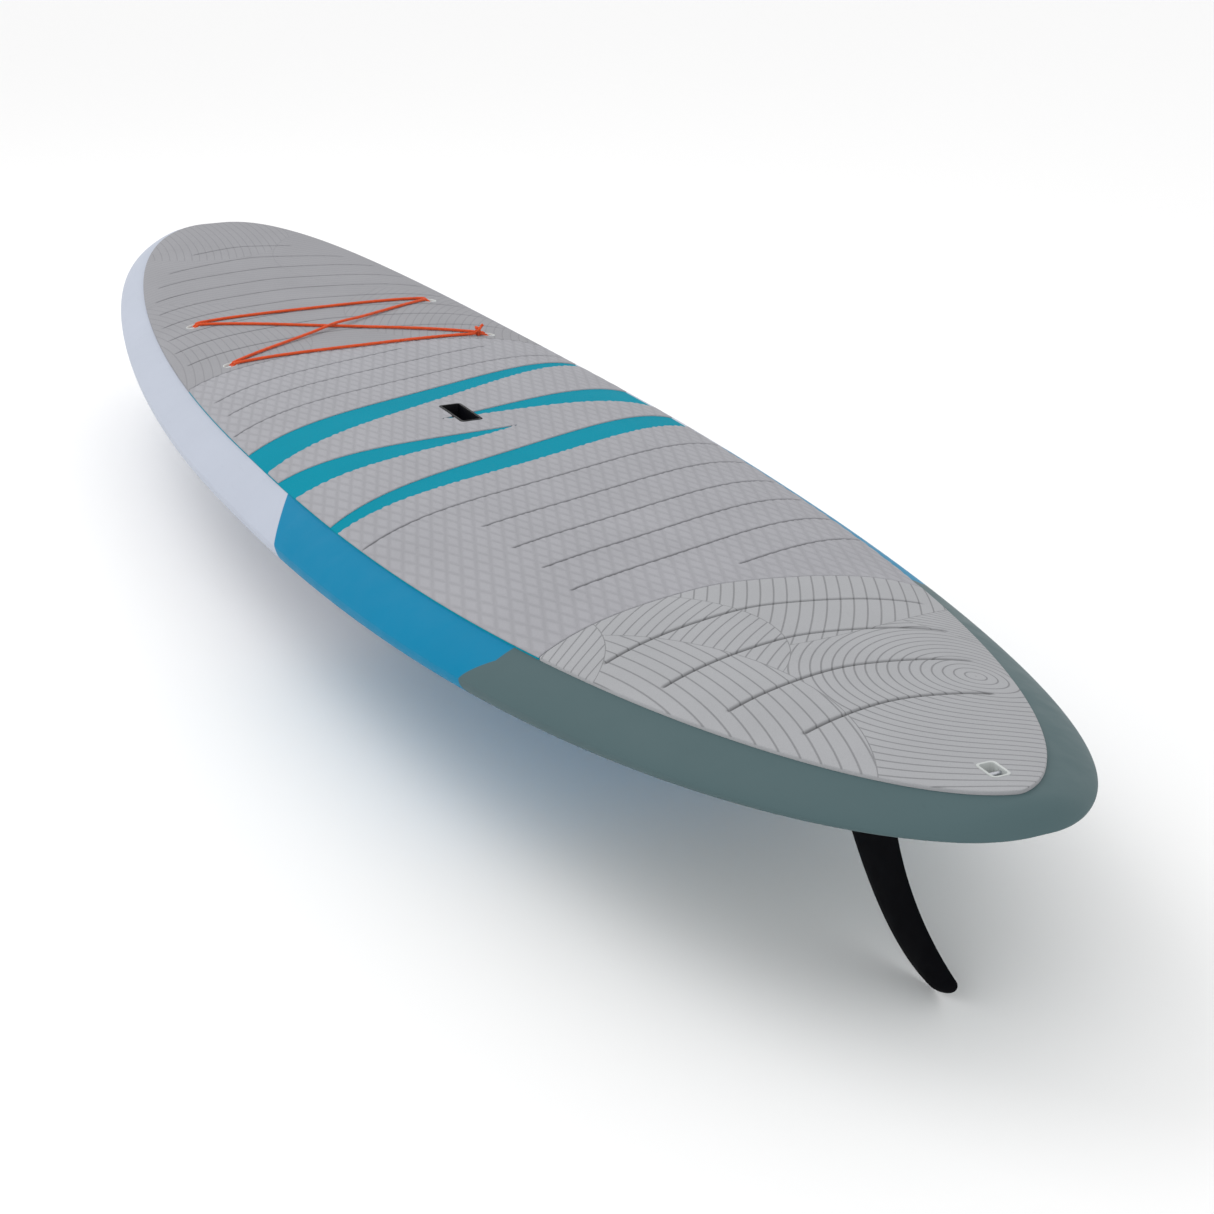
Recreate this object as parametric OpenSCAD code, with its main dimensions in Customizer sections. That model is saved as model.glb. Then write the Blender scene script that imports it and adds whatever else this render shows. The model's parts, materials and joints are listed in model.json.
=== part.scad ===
/* Stand up paddleboard: a foam core round a wooden stringer, in two bonded skins,
   with a foam deck pad, a carry handle, a bungee, a leash cup and a sliding centre fin.
   Millimetres. +X to the nose, +Y to port, +Z up. The origin is on the flat of the bottom, at mid-length. */

/* [Board] */
// Overall length, nose to tail
board_len = 3200; // [2600:10:3900]
// Overall width at the widest point
board_w = 813; // [680:1:1000]
// Thickness at mid-length
board_t = 118; // [95:1:150]
// Distance of the widest point ahead of mid-length
widest_x = 125; // [0:5:250]
// Rise of the bottom from mid-length to the nose
nose_rocker = 124; // [60:1:180]
// Rise of the bottom from mid-length to the tail
tail_rocker = 100; // [20:1:140]
// Thickness left at the nose
nose_t = 40; // [25:1:60]
// Thickness left at the tail
tail_t = 30; // [24:1:60]
// Radius that rounds the nose and the tail in side view
end_r = 35; // [15:1:60]
// Thickness of the laminated skins
skin_t = 3; // [2:0.5:5]
// Thickness of the wooden stringer
stringer_t = 6; // [3:0.5:12]
// Thickness of a glue line between bonded pieces
bond = 0.1; // [0.05:0.05:0.2]

/* [Deck pad] */
// Thickness of the deck pad
pad_t = 5; // [3:0.5:8]
// Thickness of the mid pad's lower, coloured sheet
pad_base_t = 2.5; // [1.5:0.5:2.5]
// Width of bare deck outside the pad at the rails
pad_side_gap = 60; // [20:1:120]
// Length of bare deck ahead of the pad
pad_nose_gap = 30; // [20:1:120]
// Length of bare deck behind the pad
pad_tail_gap = 42; // [30:1:120]
// Distance of the seam between nose and mid pads ahead of mid-length
nose_seam_x = 548; // [400:1:700]
// Distance of the seam between mid and tail pads behind mid-length
tail_seam_x = 892; // [700:1:1000]
// Gap between neighbouring pads
seam_gap = 2; // [1:0.5:4]

/* [Handle] */
// Length of the handle opening
handle_l = 100; // [86:1:150]
// Width of the handle opening
handle_w = 30; // [26:1:50]
// Depth of the handle cup below the top of the pad
handle_depth = 48; // [35:1:60]
// Distance of the handle ahead of mid-length
handle_x = 24; // [-60:1:60]
// Wall of the moulded cups
cup_wall = 4; // [3:0.5:6]

/* [Bungee] */
// Distance of the front bungee plugs ahead of mid-length
plug_front_x = 829; // [650:1:1000]
// Distance of the rear bungee plugs ahead of mid-length
plug_rear_x = 533; // [500:1:600]
// Distance of the front bungee plugs from the centreline
plug_front_y = 238; // [150:1:260]
// Distance of the rear bungee plugs from the centreline
plug_rear_y = 246; // [150:1:290]
// Outer radius of a bungee plug
plug_r = 14; // [12:0.5:18]
// Depth of a bungee plug
plug_depth = 20; // [16:1:30]
// Radius of the steel pin across a bungee plug
plug_pin_r = 2; // [1.5:0.25:2.5]
// Diameter of the bungee cord
cord_d = 5.5; // [4:0.5:6]

/* [Leash cup] */
// Distance of the leash cup ahead of the tail
leash_from_tail = 92; // [75:1:200]
// Length of the opening of the leash cup
leash_l = 30; // [24:1:44]
// Width of the opening of the leash cup
leash_w = 18; // [14:1:30]
// Depth of the leash cup below the top of the pad
leash_depth = 20; // [16:1:22]
// Radius of the steel pin that the leash is tied to
leash_pin_r = 2.5; // [2:0.25:3]

/* [Fin and fin box] */
// Distance of the middle of the fin box ahead of the tail
fin_from_tail = 371; // [330:1:500]
// Length of the fin box
box_l = 262; // [200:1:300]
// Width of the fin box
box_w = 26; // [24:1:32]
// Height of the fin box
box_h = 30; // [28:1:36]
// Length of the slot in the fin box
slot_l = 242; // [190:1:280]
// Width of the slot in the fin box
slot_w = 10; // [8:0.5:12]
// Width of the channel that holds the pin and the nut plate
channel_w = 17; // [15:0.5:20]
// Height of the channel over the mouth of the slot
channel_z = 14; // [12:0.5:16]
// Depth of the fin blade below the bottom
fin_depth = 241; // [150:1:280]
// Length of the fin's base
fin_base = 150; // [120:1:170]
// Thickness of the fin blade at its base
fin_t = 9; // [7:0.5:9.5]
// Clearance of the fin's tongue on each side of the slot
fin_fit = 0.2; // [0.1:0.05:0.4]
// Radius of the roll pin in the fin's heel
roll_pin_r = 2.5; // [2:0.1:3]
// Radius of the fin screw's thread
screw_r = 2; // [1.5:0.25:2.5]
// Thickness of the square nut plate
nut_t = 3.4; // [2.5:0.1:4]
// Pitch of the fin screw's thread
screw_pitch = 0.7; // [0.5:0.1:1]
// Turns that loosen the fin screw
screw_turns = 3; // [1:1:4]

/* [Hidden] */
$fn = 48;
eps = 0.01;

// ---- lines of the board ----
half_len = board_len / 2;
half_w = board_w / 2;
flat_half = 60;       // half length of the flat of the bottom
nose_curve = 2.15;    // how late the bottom rises towards the nose
tail_curve = 2.4;
nose_thin = 1.6;      // how late the board thins towards the nose
tail_thin = 3.2;
outline_nose = [1.9, 2.5];
outline_tail = [2.2, 1.95];
rail_share = [0.17, 0.36, 0.46];   // height of the rail's widest line over the thickness: tail, middle, nose
deck_power = [2, 4, 5.8];          // how late the deck falls off towards the rail: tail, middle, nose
deck_round = 1.3;
bottom_power = 12;
bottom_round = 2.2;

function bow(t, power) = pow(max(0, 1 - pow(max(0, t), power[0])), 1 / power[1]);
function outline(x, reach, half, mid, nose, tail) =
    x > mid ? half * bow((x - mid) / (reach[1] - mid), nose) : half * bow((mid - x) / (mid + reach[0]), tail);
function rail_y(x, inset = 0) =
    outline(x, [half_len - inset, half_len - inset], half_w - inset, widest_x, outline_nose, outline_tail);
function past_flat(x) = max(0, abs(x) - flat_half) / (half_len - flat_half);
function rocker(x) = x > 0 ? nose_rocker * pow(past_flat(x), nose_curve) : tail_rocker * pow(past_flat(x), tail_curve);
function rocker_slope(x) = (rocker(x + 1) - rocker(x - 1)) / 2;
function along(x) = min(1, abs(x) / half_len);
function thickness(x) = x > 0
    ? board_t - (board_t - nose_t) * pow(along(x), nose_thin)
    : board_t - (board_t - tail_t) * pow(along(x), tail_thin);
function blended(x, v) = v[1] + (v[x > 0 ? 2 : 0] - v[1]) * pow(along(x), 2);
function rail_h(x) = thickness(x) * blended(x, rail_share);
function end_round(x, inset) =
    let(d = min(end_r, half_len - inset - abs(x))) sqrt(max(0, 1 - pow((end_r - d) / end_r, 2)));
function deck_fall(x, u) = pow(max(0, 1 - pow(u, blended(x, deck_power))), 1 / deck_round);
function bottom_fall(u) = pow(max(0, 1 - pow(u, bottom_power)), 1 / bottom_round);

// Height of the deck and of the bottom, inset from the outer surface
function deck_at(x, u, inset = 0) =
    rocker(x) + rail_h(x) + (thickness(x) - rail_h(x) - inset) * deck_fall(x, u) * end_round(x, inset);
function bottom_at(x, u, inset = 0) =
    rocker(x) + rail_h(x) - (rail_h(x) - inset) * bottom_fall(u) * end_round(x, inset);
function deck_z(x, y) = deck_at(x, min(1, abs(y) / rail_y(x)));
function pad_z(x, y) = deck_z(x, y) + pad_t + bond;

// ---- the grid that every lofted piece shares ----
stations = 44;
deck_cols = 11;       // from the centreline to the rail
bottom_cols = 7;
function station(i, inset = 0) = (half_len - inset) * sin(180 * i / stations - 90);
function deck_u(j) = sin(90 * j / deck_cols);
function bottom_u(j) = pow(sin(90 * j / bottom_cols), 0.4);
function before(x) = floor((asin(x / half_len) + 90) * stations / 180);
function after(x) = ceil((asin(x / half_len) + 90) * stations / 180);

function deck_pt(i, j, inset, lift = 0) =
    let(x = station(i, inset), u = deck_u(abs(j)))
    [x, sign(j) * u * rail_y(x, inset), deck_at(x, u, inset) + lift];
function bottom_pt(i, j, inset, lift = 0) =
    let(x = station(i, inset), u = bottom_u(abs(j)))
    [x, sign(j) * u * rail_y(x, inset), bottom_at(x, u, inset) + lift];

// A closed solid from rings of equal length; points that coincide in a ring share an index,
// so a ring may shrink to a point. The second half of a ring runs back over the first half
module loft(rings) {
    n = len(rings[0]);
    pts = [for (r = rings) each r];
    own = [for (k = [0:len(pts) - 1]) [for (m = [floor(k / n) * n:k]) if (pts[m] == pts[k]) m][0]];
    function two(a, b, c, d) = [[own[a], own[c], own[b]], [own[a], own[d], own[c]]];
    // The same diagonal on every surface, so that bonded pieces follow each other
    function quad(a, b, c, d) = abs(pts[d][1]) >= abs(pts[a][1]) ? two(a, b, c, d) : two(b, c, d, a);
    function cap(s) = [for (k = [0:n / 2 - 2]) each two(s + k, s + k + 1, s + n - 2 - k, s + n - 1 - k)];
    sides = [for (i = [0:len(rings) - 2], k = [0:n - 1])
        let(s = i * n, next = (k + 1) % n) each quad(s + k, s + n + k, s + n + next, s + next)];
    last = [for (t = cap((len(rings) - 1) * n)) [t[2], t[1], t[0]]];
    polyhedron(points = pts, convexity = 8,
        faces = [for (t = concat(cap(0), sides, last)) if (t[0] != t[1] && t[1] != t[2] && t[2] != t[0]) t]);
}

// A sheet that follows the deck, between two heights over it
module deck_sheet(low, high, x0, x1) {
    cols = deck_cols - 3;
    loft([for (i = [max(1, before(x0)):min(stations - 1, after(x1))]) concat(
        [for (j = [-cols:cols]) deck_pt(i, j, 0, high)],
        [for (j = [cols:-1:-cols]) deck_pt(i, j, 0, low)])]);
}

// What lies under the bottom, between two stations, to trim what ends flush with it
module under_bottom(x0, x1) {
    cols = 2;
    loft([for (i = [before(x0):after(x1)]) concat(
        [for (j = [-cols:cols]) bottom_pt(i, j, 0)],
        [for (j = [cols:-1:-cols]) bottom_pt(i, j, 0, -box_h)])]);
}

// ---- outlines ----
function round_rect(l, w, r) = [for (q = [0:3], a = [0:15:90])
    let(c = [(q == 0 || q == 3 ? 1 : -1) * (l / 2 - r), (q < 2 ? 1 : -1) * (w / 2 - r)])
    c + r * [cos(90 * q + a), sin(90 * q + a)]];
function curve(a, b, c, n = 10) = [for (k = [0:n]) let(t = k / n)
    pow(1 - t, 2) * a + 2 * t * (1 - t) * b + t * t * c];
function curve3(a, b, c, d, t) =
    pow(1 - t, 3) * a + 3 * t * pow(1 - t, 2) * b + 3 * t * t * (1 - t) * c + pow(t, 3) * d;
module tube_box(l, w, r, low, high) {
    translate([0, 0, low]) linear_extrude(high - low) polygon(round_rect(l, w, r));
}

// ---- outlines of the deck pad ----
pad_reach = [half_len - pad_tail_gap, half_len - pad_nose_gap];
pad_widest_x = 90;
pad_nose_bow = [2.05, 2.4];
pad_tail_bow = [2.35, 1.6];
seam_round = 30;      // how softly a seam turns at the centreline
nose_seam_sweep = 0.2155;
tail_seam_sweep = 0.23;
outline_steps = 24;
seam_steps = 10;
function pad_y(x) = outline(x, pad_reach, half_w - pad_side_gap, pad_widest_x, pad_nose_bow, pad_tail_bow);
function seam_x(apex, sweep, y) = apex - sweep * (sqrt(pow(seam_round, 2) + y * y) - seam_round);
function seam_end(apex, sweep, y, tries = 5) =
    tries == 0 ? y : seam_end(apex, sweep, pad_y(seam_x(apex, sweep, y)), tries - 1);
function seam(apex, sweep) = let(e = seam_end(apex, sweep, pad_y(apex)))
    [for (k = [-seam_steps:seam_steps]) let(y = e * k / seam_steps) [seam_x(apex, sweep, y), y]];
function pad_edge(x0, x1, side) = [for (k = [1:outline_steps - 1])
    let(x = (x0 + x1) / 2 - (x1 - x0) / 2 * cos(180 * k / outline_steps)) [x, side * pad_y(x)]];
function flip(v) = [for (k = [len(v) - 1:-1:0]) v[k]];
nose_seam = [seam(nose_seam_x + seam_gap / 2, nose_seam_sweep), seam(nose_seam_x - seam_gap / 2, nose_seam_sweep)];
tail_seam = [seam(-tail_seam_x + seam_gap / 2, tail_seam_sweep), seam(-tail_seam_x - seam_gap / 2, tail_seam_sweep)];
nose_outline = concat(nose_seam[0], pad_edge(nose_seam[0][0][0], pad_reach[1], 1), [[pad_reach[1], 0]],
    flip(pad_edge(nose_seam[0][0][0], pad_reach[1], -1)));
mid_outline = concat(tail_seam[0], pad_edge(tail_seam[0][0][0], nose_seam[1][0][0], 1), flip(nose_seam[1]),
    flip(pad_edge(tail_seam[0][0][0], nose_seam[1][0][0], -1)));
tail_outline = concat(flip(tail_seam[1]), flip(pad_edge(-pad_reach[0], tail_seam[1][0][0], -1)),
    [[-pad_reach[0], 0]], pad_edge(-pad_reach[0], tail_seam[1][0][0], 1));

// Four slanted stripes of the lower sheet show between the panels of the upper one.
// Each is a front edge and a back edge, from port to starboard, drawn for a pad of one half width
drawn_half_w = 346.5;
stripes = [
    [[[40, 400], [175, 6], [370, -400]], [[-70, 400], [66, 75], [352, -400]]],
    [[[-104, 400], [-90, 130], [-80, -62]], [[-196, 400], [-155, 95], [-80, -62]]],
    [[[2, 56], [40, -90], [150, -400]], [[2, 56], [2, -140], [20, -400]]],
    [[[-362, 400], [-204, -17], [-26, -400]], [[-382, 400], [-309, -11], [-84, -400]]],
];
function stripe(s) = [for (p = concat(curve(s[0][0], s[0][1], s[0][2]), flip(curve(s[1][0], s[1][1], s[1][2]))))
    [p[0], p[1] * (half_w - pad_side_gap) / drawn_half_w]];

// ---- local frames of the fittings ----
plug_xy = [[plug_front_x, plug_front_y], [plug_front_x, -plug_front_y],
           [plug_rear_x, plug_rear_y], [plug_rear_x, -plug_rear_y]];
leash_x = -half_len + leash_from_tail;
fin_x = -half_len + fin_from_tail;
module on_pad(x, y) {
    slope = [deck_z(x + 1, y) - deck_z(x - 1, y), deck_z(x, y + 1) - deck_z(x, y - 1)] / 2;
    translate([x, y, pad_z(x, y)]) rotate([atan(slope[1]), -atan(slope[0]), 0]) children();
}
module on_bottom(x) {
    translate([x, 0, rocker(x)]) rotate([0, -atan(rocker_slope(x)), 0]) children();
}
proud = 0.5;          // how far a fitting's rim stands over the pad

// ---- what the fittings cut out of the board ----
corner_r = 6;
finger_room = 14;     // how far the handle cup reaches under its port lip
lip_t = 10;
module handle_body(grow, top) {
    wall = cup_wall + grow;
    tube_box(handle_l + 2 * wall, handle_w + 2 * wall, corner_r + grow, -handle_depth - wall, top);
    translate([0, (handle_w + finger_room) / 2, 0])
        tube_box(handle_l + 2 * wall, finger_room + 2 * wall, corner_r + grow, -handle_depth - wall, -lip_t + grow);
}
module plug_body(grow, top) {
    translate([0, 0, -plug_depth - grow]) cylinder(h = plug_depth + grow + top, r = plug_r + grow);
}
leash_wall = 3;
module leash_body(grow, top) {
    wall = leash_wall + grow;
    tube_box(leash_l + 2 * wall, leash_w + 2 * wall, corner_r + grow, -leash_depth - wall, top);
}
module box_body(grow, low) {
    tube_box(box_l + 2 * grow, box_w + 2 * grow, corner_r + grow, low, box_h + grow);
}
past = pad_t + 10;    // how far a cutter runs past the surface
module deck_cuts() {
    on_pad(handle_x, 0) handle_body(bond, past);
    for (p = plug_xy) on_pad(p[0], p[1]) plug_body(bond, past);
    on_pad(leash_x, 0) leash_body(bond, past);
}
module bottom_cuts() {
    on_bottom(fin_x) box_body(bond, -past);
}

// ---- core, stringer and skins ----
core_in = skin_t + bond;
stringer_end = 40;    // the stringer stops this short of the nose and the tail
block_room = 45;      // the foam's blocks end this far past what is let into them
block_ends = [leash_x + leash_l / 2 + block_room, fin_x + box_l / 2 + block_room,
              handle_x - handle_l / 2 - block_room, handle_x + handle_l / 2 + block_room];
module core_half(side) {
    ring = [for (i = [0:stations]) concat(
        [for (j = [0:deck_cols]) deck_pt(i, side * j, core_in)],
        [for (j = [bottom_cols:-1:0]) bottom_pt(i, side * j, core_in)])];
    difference() {
        loft(side > 0 ? ring : [for (r = ring) flip(r)]);
        translate([-half_len + stringer_end - bond, -stringer_t / 2 - bond, -board_t])
            cube([board_len - 2 * stringer_end + 2 * bond, stringer_t + 2 * bond, 4 * board_t]);
        for (x = block_ends) translate([x, -half_w, -board_t]) cube([bond, board_w, 4 * board_t]);
        deck_cuts();
        bottom_cuts();
    }
}
module core_port() color("ivory") core_half(1);
module core_starboard() color("ivory") core_half(-1);

module stringer() color("burlywood") difference() {
    intersection() {
        loft([for (i = [0:stations]) concat(
            [for (j = [-1:1]) deck_pt(i, j, core_in)],
            [for (j = [1:-1:-1]) bottom_pt(i, j, core_in)])]);
        translate([-half_len + stringer_end, -stringer_t / 2, -board_t])
            cube([board_len - 2 * stringer_end, stringer_t, 4 * board_t]);
    }
    deck_cuts();
    bottom_cuts();
}

module hull_skin() color("#2a86b4") difference() {
    loft([for (i = [0:stations]) concat(
        [for (j = [-bottom_cols:bottom_cols]) bottom_pt(i, j, skin_t, -bond / 2)],
        [for (j = [bottom_cols:-1:-bottom_cols]) bottom_pt(i, j, 0, -bond / 2)])]);
    bottom_cuts();
}

module deck_skin() color("#c8cddc") difference() {
    loft([for (i = [0:stations]) concat(
        [for (j = [-deck_cols:deck_cols]) deck_pt(i, j, 0)],
        [for (j = [deck_cols:-1:-deck_cols]) deck_pt(i, j, skin_t)])]);
    deck_cuts();
}

// ---- deck pads ----
module pad(shape, low, high) {
    x = [for (p = shape) p[0]];
    difference() {
        intersection() {
            deck_sheet(bond + low, bond + high, min(x), max(x));
            translate([0, 0, -board_t]) linear_extrude(5 * board_t) polygon(shape);
        }
        children();
    }
}
module nose_pad() color("#acacaf") pad(nose_outline, 0, pad_t)
    for (p = plug_xy) on_pad(p[0], p[1]) plug_body(bond, past);
module mid_pad_base() color("#1b97b0") pad(mid_outline, 0, pad_base_t)
    on_pad(handle_x, 0) handle_body(bond, past);
module mid_pad_top() color("#a6a6a9") pad(mid_outline, pad_base_t + bond, pad_t) {
    on_pad(handle_x, 0) handle_body(bond, past);
    for (s = stripes) translate([0, 0, -board_t]) linear_extrude(5 * board_t) polygon(stripe(s));
}
module tail_pad() color("#b0aeb0") pad(tail_outline, 0, pad_t)
    on_pad(leash_x, 0) leash_body(bond, past);

// ---- handle cup ----
module handle_cup() color("#15161c") on_pad(handle_x, 0) difference() {
    handle_body(0, proud);
    intersection() {
        tube_box(handle_l, handle_w, corner_r - 2, -handle_depth, past);
        translate([handle_l / 2 + cup_wall, 0, 0]) rotate([90, 0, -90]) linear_extrude(handle_l + 2 * cup_wall)
            polygon([[-handle_w / 2, past], [-handle_w / 2, -handle_depth],
                     [0, -handle_depth], [handle_w / 2, -handle_depth / 4], [handle_w / 2, past]]);
    }
    translate([0, (handle_w + finger_room) / 2 - corner_r, 0])
        tube_box(handle_l, finger_room + 2 * corner_r, corner_r - 2, -handle_depth, -lip_t - cup_wall);
}

// ---- bungee ----
recess_r = plug_r - 3.5;
recess_depth = 11.5;
mouth = 2;            // how far the mouth of a plug flares
pin_z = -3.2;
pin_bite = 2;         // how deep a pin sits in the wall of its cup
module bungee_plug(p) color("white") on_pad(p[0], p[1]) difference() {
    plug_body(0, proud);
    translate([0, 0, -recess_depth]) cylinder(h = recess_depth + past, r = recess_r);
    translate([0, 0, -mouth]) cylinder(h = mouth + proud + eps, r1 = recess_r, r2 = recess_r + mouth);
    translate([0, recess_r + pin_bite, pin_z]) rotate([90, 0, 0])
        cylinder(h = 2 * (recess_r + pin_bite), r = plug_pin_r);
}
module bungee_plug_front_port() bungee_plug(plug_xy[0]);
module bungee_plug_front_starboard() bungee_plug(plug_xy[1]);
module bungee_plug_rear_port() bungee_plug(plug_xy[2]);
module bungee_plug_rear_starboard() bungee_plug(plug_xy[3]);
module bungee_plug_pins() color("silver") for (p = plug_xy) on_pad(p[0], p[1])
    translate([0, recess_r + pin_bite, pin_z]) rotate([90, 0, 0])
        cylinder(h = 2 * (recess_r + pin_bite), r = plug_pin_r);

// The cord's route: from the knot, under the pin of each plug in turn, and back to the knot
cord_route = [
    [525, -222, 119.6], [527, -233, 117], [527.5, -240, 113.5], [528, -245, 109], [530, -246, 105.5],
    [533, -246, 104.5], [536, -246, 105.5], [538, -245, 109], [538.5, -240, 113.5], [539, -233, 117],
    [572, -180, 121], [609, -120, 123], [646.5, -60, 123.5], [683.5, 0, 124], [720.5, 60, 124.5],
    [758, 120, 125], [795, 180, 124], [823, 225, 121.5], [823.5, 232, 118.5], [824, 237, 114],
    [826, 238, 110.5], [829, 238, 109.5], [832, 238, 110.5], [834, 237, 114], [834.5, 232, 118.5],
    [835, 225, 122], [835, 180, 125], [835, 120, 126.5], [835, 60, 127], [835, 0, 127],
    [835, -60, 127], [835, -120, 126.5], [835, -180, 125], [835, -225, 122], [834.5, -232, 118.5],
    [834, -237, 114], [832, -238, 110.5], [829, -238, 109.5], [826, -238, 110.5], [824, -237, 114],
    [823.5, -232, 118.5], [823, -225, 121.5], [795, -180, 124], [758, -120, 125.5], [720.5, -60, 127],
    [683.5, 0, 130], [646.5, 60, 126], [609, 120, 123.5], [572, 180, 121], [539, 233, 117],
    [538.5, 240, 113.5], [538, 245, 109], [536, 246, 105.5], [533, 246, 104.5], [530, 246, 105.5],
    [528, 245, 109], [527.5, 240, 113.5], [527, 233, 117], [527, 180, 120.5], [527, 120, 122],
    [527, 60, 122.5], [527, 0, 122.5], [527, -60, 122.5], [527, -120, 122], [527, -180, 120.5],
    [526, -203, 119.5], [525, -220, 119.8],
];
cord_sides = 8;
function unit(v) = v / norm(v);
function heading(p, k) = unit(p[min(k + 1, len(p) - 1)] - p[max(k - 1, 0)]);
module swept_tube(path, d, sides) {
    loft([for (k = [0:len(path) - 1])
        let(t = heading(path, k), across = unit(cross(t, [0, 0, 1])), up = cross(across, t))
        [for (a = [0:sides - 1]) let(w = 360 * (a + 0.5) / sides)
            path[k] + d / 2 / cos(90 / sides) * (cos(w) * across + sin(w) * up)]]);
}
module bungee_cord() color("#e2603a") swept_tube(cord_route, cord_d, cord_sides);

// An overhand knot and its free ends, next to the starboard rear plug
knot_at = [526, -226, 121.2];
knot_end = 20;
module knot_loop(turn) {
    rotate(turn) rotate_extrude() translate([cord_d * 0.62, 0]) circle(d = cord_d);
}
module bungee_knot() color("#e2603a") translate(knot_at) {
    knot_loop([90, 0, 12]);
    translate([1, 2.4, 0.6]) knot_loop([78, 24, 12]);
    translate([-1, -2, 0.4]) knot_loop([100, -20, 12]);
    translate([0, 0, cord_d / 2]) rotate([24, -10, 0]) cylinder(h = knot_end, d = cord_d);
    translate([1, 0, cord_d / 2]) rotate([-30, -38, 0]) cylinder(h = knot_end / 2, d = cord_d);
}

// ---- leash cup ----
leash_pin_z = -6;
module leash_bar() {
    translate([0, leash_w / 2 + pin_bite, leash_pin_z]) rotate([90, 0, 0])
        cylinder(h = leash_w + 2 * pin_bite, r = leash_pin_r);
}
module leash_cup() color("white") on_pad(leash_x, 0) difference() {
    leash_body(0, proud);
    tube_box(leash_l, leash_w, corner_r - 2, -leash_depth, past);
    leash_bar();
}
module leash_pin() color("silver") on_pad(leash_x, 0) leash_bar();

// ---- fin box ----
nut_travel = screw_pitch * screw_turns;
channel_h = max(2 * roll_pin_r, nut_t + nut_travel) + 0.4;
tongue_top = channel_z + channel_h + 3;
notch_l = 12;
module fin_box() color("#1c1c20") difference() {
    on_bottom(fin_x) difference() {
        box_body(0, -past / 2);
        tube_box(slot_l, slot_w, slot_w / 2 - 0.1, -past, tongue_top + 1);
        translate([-slot_l / 2, -channel_w / 2, channel_z]) cube([slot_l, channel_w, channel_h]);
        translate([-notch_l / 2 - 20, -channel_w / 2, -past]) cube([notch_l, channel_w, past + channel_z + eps]);
    }
    under_bottom(fin_x - box_l, fin_x + box_l);
}

// ---- fin, drawn in the frame of the box ----
tongue_x = -11;       // middle of the fin's base over the middle of the box
ear_l = 16;           // ear ahead of the blade that takes the screw
ear_z = 5;
ear_t = 5;
root = fin_base / 2;
tongue_low = -0.5;
screw_x = tongue_x + root + ear_l / 2;
roll_pin_x = tongue_x - root + 9;
roll_pin_z = channel_z + channel_h / 2;
roll_pin_l = channel_w - 1;
// The blade's outline: edges from the base to the tip, as shares of the base and the depth
front_edge = [[0.52, 0], [0.267, 0.26], [-0.133, 0.91], [-1, 1]];
back_edge = [[-0.48, 0], [-0.493, 0.29], [-0.627, 0.665], [-1.353, 0.89]];
tip_edge = [[-1, 1], [-1.173, 1.004], [-1.393, 0.94], [-1.353, 0.89]];
function fin_at(p) = [tongue_x + p[0] * fin_base, -p[1] * (fin_depth - 1) + 0.8];
function on_edge(e, t) = fin_at(curve3(e[0], e[1], e[2], e[3], t));
blade_rows = 12;
tip_rows = 5;
blade_pairs = concat(
    [for (k = [0:blade_rows]) let(t = k / blade_rows) [on_edge(front_edge, t), on_edge(back_edge, t)]],
    [for (k = [1:tip_rows]) let(t = k / tip_rows / 2) [on_edge(tip_edge, t), on_edge(tip_edge, 1 - t)]]);
foil_x = [0, 0.04, 0.14, 0.3, 0.5, 0.72, 0.9, 1];
function foil(c) = 1.75 * sqrt(c) * (1 - c) + 0.3 * c * (1 - c) + 0.03;
module blade() {
    loft([for (p = blade_pairs) let(chord = p[1] - p[0], t = min(fin_t, norm(chord) * 0.11) / 2,
            side = [for (c = foil_x) let(q = p[0] + c * chord, w = t * foil(c)) [q[0], w, q[1]]])
        concat(side, [for (v = flip(side)) [v[0], -v[1], v[2]]])]);
}
module fin() color("#0c0c10") on_bottom(fin_x) difference() {
    union() {
        blade();
        tongue_w = slot_w - 2 * fin_fit;
        translate([tongue_x - root, -tongue_w / 2, tongue_low])
            cube([fin_base, tongue_w, tongue_top - tongue_low]);
        translate([tongue_x + root - eps, -tongue_w / 2, ear_z]) cube([ear_l + eps, tongue_w, ear_t]);
    }
    translate([roll_pin_x, roll_pin_l, roll_pin_z]) rotate([90, 0, 0]) cylinder(h = 2 * roll_pin_l, r = roll_pin_r);
    translate([screw_x, 0, 0]) cylinder(h = ear_z + ear_t + 1, r = screw_r + 0.3);
}
module roll_pin() color("silver") on_bottom(fin_x)
    translate([roll_pin_x, roll_pin_l / 2, roll_pin_z]) rotate([90, 0, 0]) difference() {
        cylinder(h = roll_pin_l, r = roll_pin_r);
        translate([0, 0, -1]) cylinder(h = roll_pin_l + 2, r = roll_pin_r * 0.6);
        translate([0, -0.4, -1]) cube([2 * roll_pin_r, 0.8, roll_pin_l + 2]);
    }
screw_fit = 0.05;
head_r = 3.8;
head_h = 2.8;
module fin_screw() color("silver") on_bottom(fin_x) translate([screw_x, 0, 0]) difference() {
    union() {
        translate([0, 0, ear_z - screw_fit - head_h]) cylinder(h = head_h, r = head_r);
        translate([0, 0, ear_z - screw_fit - eps])
            cylinder(h = channel_z + nut_t - ear_z + 1.5, r = screw_r - screw_fit);
    }
    for (turn = [0, 90]) rotate(turn)
        translate([-head_r * 0.65, -0.6, ear_z - head_h - 1]) cube([head_r * 1.3, 1.2, 2.3]);
}
module nut_plate() color("silver") on_bottom(fin_x)
    translate([screw_x, 0, channel_z + screw_fit]) difference() {
        nut_l = ear_l - 4;
        translate([-nut_l / 2, -roll_pin_l / 2, 0]) cube([nut_l, roll_pin_l, nut_t]);
        translate([0, 0, -1]) cylinder(h = nut_t + 2, r = screw_r);
    }

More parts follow.
